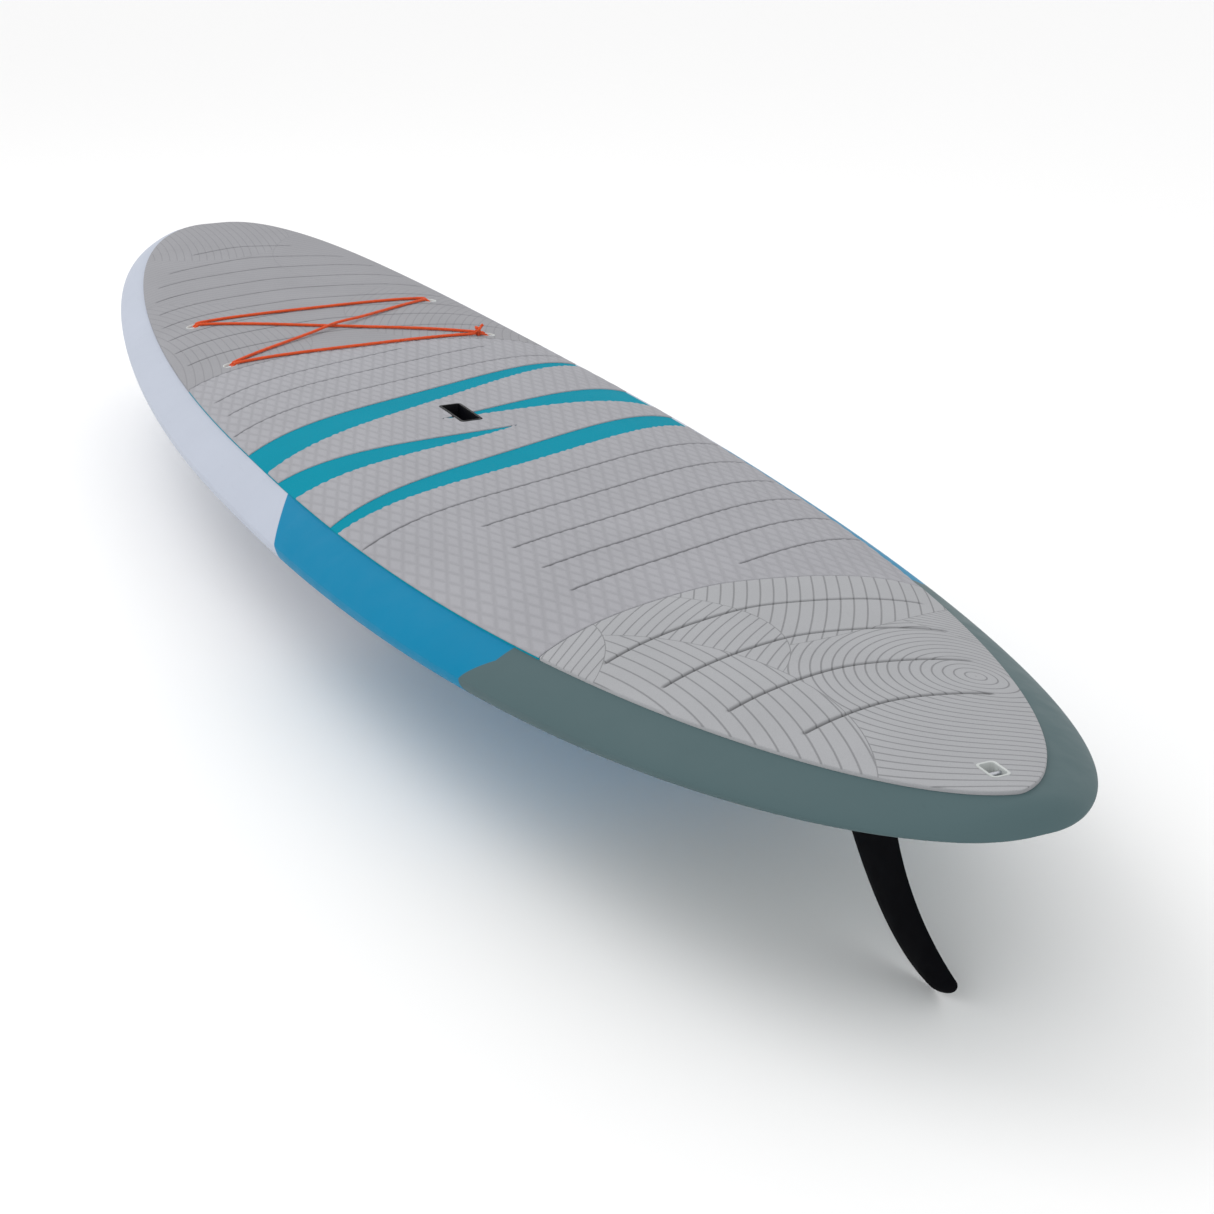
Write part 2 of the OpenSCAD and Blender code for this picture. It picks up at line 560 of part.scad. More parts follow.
core_port();
core_starboard();
stringer();
hull_skin();
deck_skin();
nose_pad();
mid_pad_base();
mid_pad_top();
tail_pad();
handle_cup();
bungee_plug_front_port();
bungee_plug_front_starboard();
bungee_plug_rear_port();
bungee_plug_rear_starboard();
bungee_plug_pins();
bungee_cord();
bungee_knot();
leash_cup();
leash_pin();
fin_box();
fin();
roll_pin();
fin_screw();
nut_plate();
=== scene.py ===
"""A stand up paddleboard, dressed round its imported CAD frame: painted skins, a moulded foam
deck pad with grooves and embossing, a braided bungee, and fittings with their finishes.
Shapes are worked out in millimetres in the board's own frame, and MM turns them to metres."""
import json
import math

import bmesh
import bpy
import numpy as np
from mathutils import Matrix, Vector


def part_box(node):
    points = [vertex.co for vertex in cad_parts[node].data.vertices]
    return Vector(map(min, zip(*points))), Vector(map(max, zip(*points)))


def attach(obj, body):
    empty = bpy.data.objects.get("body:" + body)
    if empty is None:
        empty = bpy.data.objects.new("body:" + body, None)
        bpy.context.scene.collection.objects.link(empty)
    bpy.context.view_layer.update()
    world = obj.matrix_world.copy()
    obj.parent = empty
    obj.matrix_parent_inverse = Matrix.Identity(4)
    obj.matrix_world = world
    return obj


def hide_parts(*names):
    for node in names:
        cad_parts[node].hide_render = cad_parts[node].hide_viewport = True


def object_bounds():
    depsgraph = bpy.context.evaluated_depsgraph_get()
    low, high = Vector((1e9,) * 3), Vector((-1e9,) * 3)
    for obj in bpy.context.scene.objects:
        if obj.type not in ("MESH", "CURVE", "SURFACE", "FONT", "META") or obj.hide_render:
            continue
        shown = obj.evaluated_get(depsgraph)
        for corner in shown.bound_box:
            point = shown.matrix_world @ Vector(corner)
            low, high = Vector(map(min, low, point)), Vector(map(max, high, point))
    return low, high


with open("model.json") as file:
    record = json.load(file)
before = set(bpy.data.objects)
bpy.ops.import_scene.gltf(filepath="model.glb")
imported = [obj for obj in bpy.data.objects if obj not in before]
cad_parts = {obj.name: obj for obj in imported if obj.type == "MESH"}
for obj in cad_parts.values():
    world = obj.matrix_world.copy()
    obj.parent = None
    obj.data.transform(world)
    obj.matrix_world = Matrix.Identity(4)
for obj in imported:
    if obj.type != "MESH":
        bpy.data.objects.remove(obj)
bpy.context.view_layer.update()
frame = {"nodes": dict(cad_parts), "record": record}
MM = 0.001

# ---- camera ----
CAMERA_AT = (-3.16813, 1.17158, 1.08747)
CAMERA_AZIMUTH, CAMERA_ELEVATION, CAMERA_ROLL = -24.098, -21.071, -0.740
LENS = 64.055


def make_camera():
    az, el, roll = (math.radians(a) for a in (CAMERA_AZIMUTH, CAMERA_ELEVATION, CAMERA_ROLL))
    ahead = Vector((math.cos(el) * math.cos(az), math.cos(el) * math.sin(az), math.sin(el)))
    right = ahead.cross(Vector((0, 0, 1))).normalized()
    up = right.cross(ahead)
    across = right * math.cos(roll) + up * math.sin(roll)
    above = up * math.cos(roll) - right * math.sin(roll)
    data = bpy.data.cameras.new("camera")
    data.lens = LENS
    data.sensor_width = 36
    data.clip_end = 100
    camera = bpy.data.objects.new("camera", data)
    bpy.context.scene.collection.objects.link(camera)
    turned = Matrix((across, above, -ahead)).transposed().to_4x4()
    camera.matrix_world = Matrix.Translation(CAMERA_AT) @ turned
    bpy.context.scene.camera = camera


make_camera()

# ---- lines of the board, as its CAD source has them ----
hull_low, hull_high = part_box("hull_skin")
HALF_LEN = (hull_high.x - hull_low.x) / 2 / MM
HALF_W = 813 / 2
BOARD_T, NOSE_T, TAIL_T = 118, 40, 30
WIDEST_X = 125
NOSE_ROCKER, TAIL_ROCKER = 124, 100
END_R = 35
SKIN_T = 3
BOND = 0.1
FLAT_HALF = 60
PAD_T, PAD_BASE_T = 5, 2.5
PAD_NOSE, PAD_TAIL = HALF_LEN - 30, HALF_LEN - 42
PAD_HALF_W = HALF_W - 60


def power(value, exponent):
    return np.maximum(0, value) ** exponent


def bow(t, p, q):
    return power(1 - power(t, p), 1 / q)


def outline(x, tail, nose, half, mid, nose_bow, tail_bow):
    ahead = bow((x - mid) / (nose - mid), *nose_bow)
    behind = bow((mid - x) / (mid + tail), *tail_bow)
    return half * np.where(x > mid, ahead, behind)


def rail_y(x, inset=0):
    reach = HALF_LEN - inset
    return outline(x, reach, reach, HALF_W - inset, WIDEST_X, (1.9, 2.5), (2.2, 1.95))


def pad_y(x):
    return outline(x, PAD_TAIL, PAD_NOSE, PAD_HALF_W, 90, (2.05, 2.4), (2.35, 1.6))


def rocker(x):
    s = power(np.abs(x) - FLAT_HALF, 1) / (HALF_LEN - FLAT_HALF)
    return np.where(x > 0, NOSE_ROCKER * s**2.15, TAIL_ROCKER * s**2.4)


def along(x):
    return np.minimum(1, np.abs(x) / HALF_LEN)


def thickness(x):
    nose_loss = (BOARD_T - NOSE_T) * along(x) ** 1.6
    tail_loss = (BOARD_T - TAIL_T) * along(x) ** 3.2
    return BOARD_T - np.where(x > 0, nose_loss, tail_loss)


def blended(x, tail, middle, nose):
    return middle + (np.where(x > 0, nose, tail) - middle) * along(x) ** 2


def rail_h(x):
    return thickness(x) * blended(x, 0.17, 0.36, 0.46)


def end_round(x, inset=0):
    d = np.minimum(END_R, HALF_LEN - inset - np.abs(x))
    return power(1 - ((END_R - d) / END_R) ** 2, 0.5)


def deck_at(x, u, inset=0):
    fall = power(1 - power(u, blended(x, 2, 4, 5.8)), 1 / 1.3)
    return rocker(x) + rail_h(x) + (thickness(x) - rail_h(x) - inset) * fall * end_round(x, inset)


def bottom_at(x, u, inset=0):
    fall = power(1 - power(u, 12), 1 / 2.2)
    return rocker(x) + rail_h(x) - (rail_h(x) - inset) * fall * end_round(x, inset)


def deck_z(x, y):
    return deck_at(x, np.minimum(1, np.abs(y) / np.maximum(rail_y(x), 1e-6)))


def local_frame(x, y, height, surface=deck_z):
    """The frame of a fitting that lies on a surface: the matrix takes millimetres to metres."""
    x, y = float(x), float(y)
    slope_x = float(surface(np.array(x + 1), y) - surface(np.array(x - 1), y)) / 2
    slope_y = float(surface(np.array(x), y + 1) - surface(np.array(x), y - 1)) / 2
    tilt = Matrix.Rotation(-math.atan(slope_x), 4, "Y") @ Matrix.Rotation(math.atan(slope_y), 4, "X")
    at = Vector((x, y, float(surface(np.array(x), y)) + height))
    return Matrix.Scale(MM, 4) @ Matrix.Translation(at) @ tilt


def on_pad(x, y):
    return local_frame(x, y, PAD_T + BOND)


# ---- node trees ----
def put(tree, kind, inputs=(), **settings):
    """A new node. Inputs are (socket, value or output) pairs, and settings are its own options."""
    node = tree.nodes.new(kind)
    for name, value in settings.items():
        setattr(node, name, value)
    for socket, value in inputs:
        if isinstance(value, bpy.types.NodeSocket):
            tree.links.new(value, node.inputs[socket])
        else:
            node.inputs[socket].default_value = value
    return node


def calc(tree, operation, *values, clamp=False):
    return put(tree, "ShaderNodeMath", enumerate(values), operation=operation, use_clamp=clamp).outputs[0]


def vector_calc(tree, operation, *inputs, output=0):
    return put(tree, "ShaderNodeVectorMath", inputs, operation=operation).outputs[output]


def smooth_step(tree, value, low, high, out_low=0.0, out_high=1.0):
    return put(tree, "ShaderNodeMapRange", [(0, value), (1, low), (2, high), (3, out_low), (4, out_high)],
               interpolation_type="SMOOTHSTEP").outputs[0]


def split(tree, vector):
    return put(tree, "ShaderNodeSeparateXYZ", [(0, vector)]).outputs


DIAMOND_LONG, DIAMOND_WIDE = 0.058, 0.0208
DIAMOND_VALLEY = 0.26


def diamond_valleys(tree, position, long=DIAMOND_LONG, wide=DIAMOND_WIDE, valley=DIAMOND_VALLEY):
    """1 in the valleys between the embossed diamonds, 0 on their tops."""
    x, y = split(tree, position)[:2]
    across = calc(tree, "DIVIDE", x, long)
    beside = calc(tree, "DIVIDE", y, wide)
    one = calc(tree, "PINGPONG", calc(tree, "ADD", across, beside), 0.5)
    two = calc(tree, "PINGPONG", calc(tree, "SUBTRACT", across, beside), 0.5)
    return smooth_step(tree, calc(tree, "MINIMUM", one, two), 0.0, valley, 1.0, 0.0)


LINE_W = 0.0024
# Families of fine arcs. Each fills a round field, given by its centre and radius, in which it runs
# round a centre of its own at its own pitch. A field lies over those after it
ARC_FIELDS = {
    "tail": [((-0.93, 0.36), 0.17, (-0.60, 0.52), 0.014), ((-1.27, 0.47), 0.41, (-1.20, 0.84), 0.017),
             ((-1.05, 0.20), 0.19, (-1.62, -0.42), 0.015), ((-0.70, 0.0), 0.42, (-0.45, 0.90), 0.0165),
             ((-0.99, -0.33), 0.21, (-0.40, -0.47), 0.0105), ((-1.25, -0.10), 2.0, (-1.28, -0.13), 0.0125)],
    "nose": [((0.70, 0.42), 0.36, (0.70, 1.10), 0.0155), ((1.20, -0.34), 0.30, (1.75, -0.60), 0.0155),
             ((1.46, 0.05), 0.18, (1.46, 0.75), 0.0155), ((0.72, -0.30), 0.26, (0.30, -0.90), 0.0155),
             ((1.05, 0.0), 2.0, (0.2, 0.1), 0.0155)],
}


def arc_lines(tree, position, fields):
    """1 on the fine arcs of a pad, 0 between them."""
    flat = vector_calc(tree, "MULTIPLY", (0, position), (1, (1.0, 1.0, 0.0)))

    def distance(centre):
        return vector_calc(tree, "DISTANCE", (0, flat), (1, (*centre, 0.0)), output=1)

    def edge(run, pitch):
        return calc(tree, "PINGPONG", run, pitch / 2)

    off_line = edge(distance(fields[-1][2]), fields[-1][3])
    for centre, radius, rings, pitch in reversed(fields[:-1]):
        away = calc(tree, "SUBTRACT", distance(centre), radius)
        inside = calc(tree, "LESS_THAN", away, 0.0)
        outer = calc(tree, "MINIMUM", off_line, calc(tree, "ABSOLUTE", away))
        off_line = calc(tree, "ADD", calc(tree, "MULTIPLY", outer, calc(tree, "SUBTRACT", 1.0, inside)),
                        calc(tree, "MULTIPLY", edge(distance(rings), pitch), inside))
    return smooth_step(tree, off_line, LINE_W * 0.2, LINE_W * 0.6, 1.0, 0.0)


# ---- materials ----
def srgb(r, g, b):
    def linear(v):
        v /= 255
        return v / 12.92 if v <= 0.04045 else ((v + 0.055) / 1.055) ** 2.4
    return (linear(r), linear(g), linear(b), 1.0)


def new_material(name, **values):
    """A material and the handles that its detail needs: tree, shader and Object coordinates."""
    material = bpy.data.materials.new(name)
    material.use_nodes = True
    tree = material.node_tree
    shader = tree.nodes["Principled BSDF"]
    for socket, value in values.items():
        shader.inputs[socket.replace("_", " ")].default_value = value
    place = put(tree, "ShaderNodeTexCoord").outputs["Object"]
    return material, tree, shader, place


def stretched(tree, place, scale):
    return put(tree, "ShaderNodeMapping", [("Vector", place), ("Scale", scale)]).outputs[0]


def noise(tree, place, scale, detail=3.0, rough=0.5):
    return put(tree, "ShaderNodeTexNoise", [("Vector", place), ("Scale", scale), ("Detail", detail),
                                            ("Roughness", rough)]).outputs["Fac"]


def mix(tree, factor, one, two, blend="MIX"):
    return put(tree, "ShaderNodeMix", [(0, factor), (6, one), (7, two)], data_type="RGBA",
               blend_type=blend).outputs[2]


def shade(tree, value, low, high):
    """A grey that multiplies a colour, from low to high as value goes from 0 to 1."""
    return put(tree, "ShaderNodeMapRange", [(0, value), (1, 0.25), (2, 0.75), (3, low), (4, high)]).outputs[0]


def tint(tree, colour, value):
    rgb = put(tree, "ShaderNodeCombineColor", [(0, value), (1, value), (2, value)]).outputs[0]
    return mix(tree, 1.0, colour, rgb, "MULTIPLY")


def bumps(tree, shader, *layers):
    """Layers of (height, strength, distance in metres), one over the other."""
    normal = None
    for height, strength, distance in layers:
        inputs = [("Height", height), ("Strength", strength), ("Distance", distance)]
        if normal is not None:
            inputs.append(("Normal", normal))
        normal = put(tree, "ShaderNodeBump", inputs).outputs[0]
    tree.links.new(normal, shader.inputs["Normal"])


def attribute(tree, name):
    return put(tree, "ShaderNodeAttribute", attribute_name=name).outputs["Fac"]


FOAM_GREY = srgb(163, 163, 168)
FOAM_GREY_NOSE = srgb(152, 152, 156)
FOAM_GREY_TAIL = srgb(166, 167, 170)
FOAM_TEAL = srgb(0, 137, 159)
# how dark the painted shade in the grooves is, as a share of the foam's colour
GROOVE_PAINTED_SHADE = 0.42


def foam(name, colour, arcs=None, arc_painted_shade=0.72, arc_depth=0.0004, diamonds=False):
    """Closed-cell foam: brushed fuzz, faint mottling, and painted shade in its grooves and, where it has
    them, in its fine arcs and in the valleys between its diamonds.
    """
    material, tree, shader, place = new_material(name, Roughness=0.9, Specular_IOR_Level=0.05,
                                                 Sheen_Weight=0.02, Sheen_Roughness=0.5)
    mottle = noise(tree, place, 9.0, 4.0)
    cells = noise(tree, place, 900.0, 2.0)
    fuzz = noise(tree, place, 2600.0, 2.0)
    tone = tint(tree, colour, shade(tree, mottle, 0.965, 1.03))
    tone = tint(tree, tone, shade(tree, cells, 0.93, 1.06))
    # painted shade: the grooves are darkened as if shade lay in them
    tone = mix(tree, attribute(tree, "groove"), tone, tuple(c * GROOVE_PAINTED_SHADE for c in colour[:3]) + (1.0,))
    layers = [(fuzz, 0.35, 0.0003), (cells, 0.5, 0.0006)]
    if arcs:
        on_top = smooth_step(tree, attribute(tree, "on_top"), 0.8, 1.0)
        lines = calc(tree, "MULTIPLY", arc_lines(tree, place, arcs), on_top)
        # painted shade: the recessed arcs are darkened as well as pressed in by the bump
        tone = tint(tree, tone, calc(tree, "SUBTRACT", 1.0, calc(tree, "MULTIPLY", lines, 1.0 - arc_painted_shade)))
        layers.append((calc(tree, "SUBTRACT", 1.0, lines), 1.0, arc_depth))
    if diamonds:
        valleys = diamond_valleys(tree, place)
        # painted shade: the valleys between the diamonds are darkened a little
        tone = tint(tree, tone, calc(tree, "SUBTRACT", 1.0, calc(tree, "MULTIPLY", valleys, 0.10)))
        layers.append((calc(tree, "SUBTRACT", 1.0, valleys), 0.8, 0.0008))
    tree.links.new(tone, shader.inputs["Base Color"])
    bumps(tree, shader, *layers)
    return material


PAINT_WHITE = srgb(181, 187, 200)
PAINT_BLUE = srgb(0, 124, 164)
PAINT_GREY = srgb(80, 100, 103)

# the front edges of the blue and the grey field: x, how far out they run straight, and their slant
BLUE_EDGE = (-0.150, 0.345, -1.9)
GREY_EDGE = (-0.892, 0.303, 0.85)
RAIL_LOW = 0.045                  # below this height the blue edge leans back
EDGE_BLUR = 0.0012


def paint(name):
    """Satin paint in three fields along the board, with slanted edges between them on the rails."""
    material, tree, shader, place = new_material(name, Specular_IOR_Level=0.06)
    x, y, z = split(tree, place)[:3]
    side = calc(tree, "ABSOLUTE", y)
    under = calc(tree, "MAXIMUM", calc(tree, "SUBTRACT", RAIL_LOW, z), 0.0)

    def field_edge(edge_x, straight_to, slant):
        out = calc(tree, "MAXIMUM", calc(tree, "SUBTRACT", side, straight_to), 0.0)
        return calc(tree, "MULTIPLY_ADD", out, slant, edge_x)

    ahead_blue = calc(tree, "SUBTRACT", x, calc(tree, "SUBTRACT", field_edge(*BLUE_EDGE), under))
    ahead_grey = calc(tree, "SUBTRACT", x, field_edge(*GREY_EDGE))
    tone = mix(tree, smooth_step(tree, ahead_blue, -EDGE_BLUR, EDGE_BLUR), PAINT_BLUE, PAINT_WHITE)
    tone = mix(tree, smooth_step(tree, ahead_grey, -EDGE_BLUR, EDGE_BLUR), PAINT_GREY, tone)
    tone = tint(tree, tone, shade(tree, noise(tree, place, 6.0, 3.0), 0.98, 1.02))
    scuff = noise(tree, stretched(tree, place, (0.3, 1.0, 1.0)), 140.0, 6.0, 0.65)
    tone = tint(tree, tone, smooth_step(tree, scuff, 0.2, 0.42, 0.94, 1.0))
    tree.links.new(tone, shader.inputs["Base Color"])
    tree.links.new(shade(tree, noise(tree, place, 30.0, 4.0), 0.40, 0.52), shader.inputs["Roughness"])
    orange_peel = noise(tree, place, 700.0, 1.0)
    waves = noise(tree, place, 60.0, 2.0)
    bumps(tree, shader, (orange_peel, 0.08, 0.0004), (waves, 0.1, 0.0006))
    return material


def moulding(name, colour, rough, grain=0.25, gloss=0.35):
    """Injection-moulded plastic with a fine spark-eroded grain and slightly polished wear."""
    material, tree, shader, place = new_material(name, Specular_IOR_Level=gloss)
    grit = noise(tree, place, 1800.0, 2.0)
    wear = noise(tree, place, 45.0, 5.0, 0.6)
    tree.links.new(tint(tree, colour, shade(tree, wear, 0.9, 1.08)), shader.inputs["Base Color"])
    tree.links.new(shade(tree, wear, rough + 0.08, rough - 0.08), shader.inputs["Roughness"])
    bumps(tree, shader, (grit, grain, 0.0002))
    return material


def metal(name, colour, rough, stretch=(1.0, 1.0, 30.0)):
    material, tree, shader, place = new_material(name, Metallic=1.0)
    lines = noise(tree, stretched(tree, place, stretch), 400.0, 3.0)
    tree.links.new(tint(tree, colour, shade(tree, lines, 0.86, 1.08)), shader.inputs["Base Color"])
    tree.links.new(shade(tree, lines, rough - 0.06, rough + 0.1), shader.inputs["Roughness"])
    bumps(tree, shader, (lines, 0.15, 0.0001))
    return material


def braid(name, colour):
    """Woven polyester: each yarn is a bundle of fibres, some of them lighter."""
    material, tree, shader, place = new_material(name, Roughness=0.75, Sheen_Weight=0.35, Sheen_Roughness=0.4,
                                                 Specular_IOR_Level=0.3)
    fibres = noise(tree, place, 3200.0, 3.0, 0.7)
    patches = noise(tree, place, 60.0, 3.0)
    tone = tint(tree, colour, shade(tree, fibres, 0.78, 1.18))
    tone = tint(tree, tone, shade(tree, patches, 0.92, 1.05))
    tree.links.new(tone, shader.inputs["Base Color"])
    bumps(tree, shader, (fibres, 0.6, 0.0003))
    return material


def bead_foam(name):
    """Expanded foam: fused beads about 3 mm across."""
    material, tree, shader, place = new_material(name, Roughness=0.85)
    beads = put(tree, "ShaderNodeTexVoronoi", [("Vector", place), ("Scale", 320.0)]).outputs["Distance"]
    tone = tint(tree, srgb(238, 238, 230), shade(tree, beads, 1.0, 0.86))
    tree.links.new(tone, shader.inputs["Base Color"])
    bumps(tree, shader, (calc(tree, "SUBTRACT", 1.0, beads), 0.6, 0.0008))
    return material


def sawn_wood(name):
    material, tree, shader, place = new_material(name, Roughness=0.6)
    grain = stretched(tree, place, (0.6, 8.0, 22.0))
    rings = noise(tree, grain, 5.0, 5.0, 0.6)
    pores = noise(tree, grain, 90.0, 3.0)
    tone = mix(tree, rings, srgb(160, 116, 72), srgb(214, 178, 128))
    tree.links.new(tint(tree, tone, shade(tree, pores, 0.86, 1.05)), shader.inputs["Base Color"])
    bumps(tree, shader, (pores, 0.3, 0.0003))
    return material


MATERIALS = {
    "eps_foam": bead_foam("bead_foam"),
    "stringer_wood": sawn_wood("stringer_wood"),
    "hull_skin": paint("painted_laminate"),
    "pad_grey": foam("foam_grey", FOAM_GREY_NOSE, ARC_FIELDS["nose"], 0.88, 0.0003),
    "pad_teal": foam("foam_teal", FOAM_TEAL),
    "pad_grey_embossed": foam("foam_grey_diamonds", FOAM_GREY, diamonds=True),
    "pad_grey_tail": foam("foam_grey_arcs", FOAM_GREY_TAIL, ARC_FIELDS["tail"], 0.66),
    "black_moulding": moulding("black_moulding", srgb(10, 10, 16), 0.45, gloss=0.1),
    "white_moulding": moulding("white_moulding", srgb(190, 194, 193), 0.42),
    "steel": metal("stainless_steel", srgb(196, 198, 204), 0.28),
    "bungee_braid": braid("bungee_braid", srgb(222, 84, 34)),
    "fin_black": moulding("fin_nylon", srgb(3, 3, 7), 0.5, 0.12, 0.03),
    "brass_plate": metal("brass_plate", srgb(214, 176, 96), 0.3),
}
MATERIALS["deck_skin"] = MATERIALS["hull_skin"]
SLOTS = {s["node"]: s["material_slot"] for s in frame["record"]["subparts"]}


# ---- meshes ----
def add_piece(name, mesh, slot, nodes, body="board", sharp=35):
    """Shades a mesh, gives it its finish, and lets it stand for its CAD nodes."""
    mesh.shade_smooth()
    mesh.set_sharp_from_angle(angle=math.radians(sharp))
    piece = bpy.data.objects.get(name) or bpy.data.objects.new(name, mesh)
    piece.data = mesh
    if name not in bpy.context.scene.collection.objects:
        bpy.context.scene.collection.objects.link(piece)
    mesh.materials.clear()
    mesh.materials.append(MATERIALS[slot])
    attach(piece, body)
    if nodes:
        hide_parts(*nodes)
    return piece


def mesh_from(name, points, faces, outward=True):
    """A mesh from points in millimetres, with doubles merged and normals turned outwards."""
    mesh = bpy.data.meshes.new(name)
    mesh.from_pydata((np.asarray(points, float) * MM).tolist(), [], faces)
    bm = bmesh.new()
    bm.from_mesh(mesh)
    bmesh.ops.remove_doubles(bm, verts=bm.verts, dist=2e-6)
    bmesh.ops.dissolve_degenerate(bm, edges=bm.edges, dist=1e-6)
    if outward:
        bmesh.ops.recalc_face_normals(bm, faces=bm.faces)
    bm.to_mesh(mesh)
    bm.free()
    return mesh


def quads(rows, cols, start=0, turn=False):
    """Faces of a grid of points that is stored row by row."""
    i, j = np.meshgrid(np.arange(rows - 1), np.arange(cols - 1), indexing="ij")
    a = (start + i * cols + j).ravel()
    faces = np.stack([a, a + 1, a + cols + 1, a + cols], 1)
    return faces[:, ::-1] if turn else faces


def evaluated(piece):
    """The mesh of a piece with its modifiers, which are then removed."""
    bpy.context.view_layer.update()
    depsgraph = bpy.context.evaluated_depsgraph_get()
    mesh = bpy.data.meshes.new_from_object(piece.evaluated_get(depsgraph))
    piece.modifiers.clear()
    return mesh


def scratch_object(name, data):
    thing = bpy.data.objects.new(name, data)
    bpy.context.scene.collection.objects.link(thing)
    return thing


def rounded_outline(length, width, radius, steps=8):
    corners = [(1, 1, 0), (-1, 1, 90), (-1, -1, 180), (1, -1, 270)]
    angles = np.linspace(0, 90, steps)
    return [(sx * (length / 2 - radius) + radius * math.cos(math.radians(a0 + a)),
             sy * (width / 2 - radius) + radius * math.sin(math.radians(a0 + a)))
            for sx, sy, a0 in corners for a in angles]


def prism(shape, low, high, matrix):
    n = len(shape)
    points = [matrix @ Vector((x, y, z)) / MM for z in (low, high) for x, y in shape]
    sides = [(k, (k + 1) % n, n + (k + 1) % n, n + k) for k in range(n)]
    return points, sides + [tuple(range(n))[::-1], tuple(range(n, 2 * n))]


def cut(mesh, holes):
    """The mesh with holes, each a prism, taken out of it."""
    points, faces = [], []
    for hole_points, hole_faces in holes:
        faces += [tuple(len(points) + k for k in f) for f in hole_faces]
        points += hole_points
    body = scratch_object("body", mesh)
    tool = scratch_object("tool", mesh_from("tool", points, faces))
    boolean = body.modifiers.new("cut", "BOOLEAN")
    boolean.object = tool
    boolean.operation = "DIFFERENCE"
    boolean.solver = "EXACT"
    result = evaluated(body)
    bpy.data.objects.remove(body)
    bpy.data.objects.remove(tool)
    return result


# ---- holes that the fittings need, from their CAD places ----
CORNER_R = 6
PLUG_R = 14
PLUGS = [(829, 238), (829, -238), (533, 246), (533, -246)]
HANDLE_AT = (24, 0)
LEASH_AT = (-HALF_LEN + 92, 0)
FIN_X = -HALF_LEN + 371
HOLE_LOW, HOLE_HIGH = -14, 15     # from the surface of the pad, or of the bottom


def corner_hole(length, width, matrix, low=HOLE_LOW):
    """The hole for a fitting of this length and width, with room for the glue."""
    return prism(rounded_outline(length + 2 * BOND, width + 2 * BOND, CORNER_R), low, HOLE_HIGH, matrix)


def plug_hole(at):
    turns = np.radians(range(0, 360, 10))
    shape = [((PLUG_R + BOND) * math.cos(t), (PLUG_R + BOND) * math.sin(t)) for t in turns]
    return prism(shape, HOLE_LOW, HOLE_HIGH, on_pad(*at))


HANDLE_HOLE = corner_hole(108, 38, on_pad(*HANDLE_AT))
LEASH_HOLE = corner_hole(36, 24, on_pad(*LEASH_AT))
PLUG_HOLES = [plug_hole(at) for at in PLUGS]
on_bottom = local_frame(FIN_X, 0, 0, lambda x, y: rocker(x))
BOX_HOLE = corner_hole(262, 26, on_bottom, -15)


# ---- painted skins ----
STATIONS = 230
DECK_COLS, BOTTOM_COLS = 44, 40


def skin_surface(cols, heights, spacing, inset, lift=0):
    """A grid of points on the deck or the bottom, from the starboard rail to the port rail."""
    x = (HALF_LEN - inset) * np.sin(np.linspace(-90, 90, STATIONS + 1) * math.pi / 180)
    k = np.arange(-cols, cols + 1)
    u = np.sin(np.abs(k) / cols * math.pi / 2) ** spacing
    grid_x, grid_u = np.meshgrid(x, u, indexing="ij")
    y = np.sign(k) * grid_u * rail_y(grid_x, inset)
    return np.stack([grid_x, y, heights(grid_x, grid_u, inset) + lift], 2)


def rim_normals(mesh):
    """Turns the skin level along the rail, so that the two skins meet without a visible line."""
    mesh.shade_smooth()
    mesh.set_sharp_from_angle(angle=math.radians(50))
    count = len(mesh.vertices)
    co = np.zeros(count * 3)
    mesh.vertices.foreach_get("co", co)
    co = co.reshape(-1, 3) / MM
    rim = rail_y(co[:, 0])
    slope = (rail_y(co[:, 0] + 0.5) - rail_y(co[:, 0] - 0.5))
    out = np.stack([-slope, np.sign(co[:, 1]), np.zeros(count)], 1)
    out /= np.maximum(np.linalg.norm(out, axis=1), 1e-9)[:, None]
    at_rail = np.abs(np.abs(co[:, 1]) - rim) < 0.05
    at_height = np.abs(co[:, 2] - rocker(co[:, 0]) - rail_h(co[:, 0])) < 0.2
    on_rim = at_rail & at_height & (np.abs(co[:, 0]) < HALF_LEN - 1)
    normals = np.zeros((len(mesh.loops), 3))
    owner = np.zeros(len(mesh.loops), int)
    mesh.loops.foreach_get("vertex_index", owner)
    face_of = np.repeat(np.arange(len(mesh.polygons)), [p.loop_total for p in mesh.polygons])
    outward = np.array([p.normal[:] for p in mesh.polygons])[face_of]
    faces_out = (outward * out[owner]).sum(1) > 0.05
    chosen = on_rim[owner] & faces_out
    normals[chosen] = out[owner][chosen]
    mesh.normals_split_custom_set(normals.tolist())


def skin(name, node, cols, heights, spacing, holes, lift=0):
    outer = skin_surface(cols, heights, spacing, 0, lift)
    inner = skin_surface(cols, heights, spacing, SKIN_T, lift)
    rows, width = outer.shape[:2]
    count = rows * width
    points = np.concatenate([outer.reshape(-1, 3), inner.reshape(-1, 3)])
    faces = [quads(rows, width), quads(rows, width, count, True)]
    for col in (0, width - 1):
        edge = np.arange(rows) * width + col
        faces.append(np.stack([edge[:-1], edge[1:], edge[1:] + count, edge[:-1] + count], 1))
    mesh = cut(mesh_from(name, points, np.concatenate(faces).tolist()), holes)
    piece = add_piece(name, mesh, SLOTS[node], [node], sharp=50)
    rim_normals(mesh)
    return piece


skin("hull_paint", "hull_skin", BOTTOM_COLS, bottom_at, 0.4, [BOX_HOLE])
skin("deck_paint", "deck_skin", DECK_COLS, deck_at, 1.0, [HANDLE_HOLE, LEASH_HOLE, *PLUG_HOLES])


# ---- deck pads: sheets whose rows follow their edges and grooves ----
STEP_Y, STEP_X = 3.6, 5.0         # grid of an embossed sheet
MIN_GAP = 9                       # between neighbouring lines where they crowd
EDGE_ROWS = ((0, 1.2), (0.5, 0.55), (1.2, 0.15), (2.2, 0))    # distance from an edge, and how far it drops
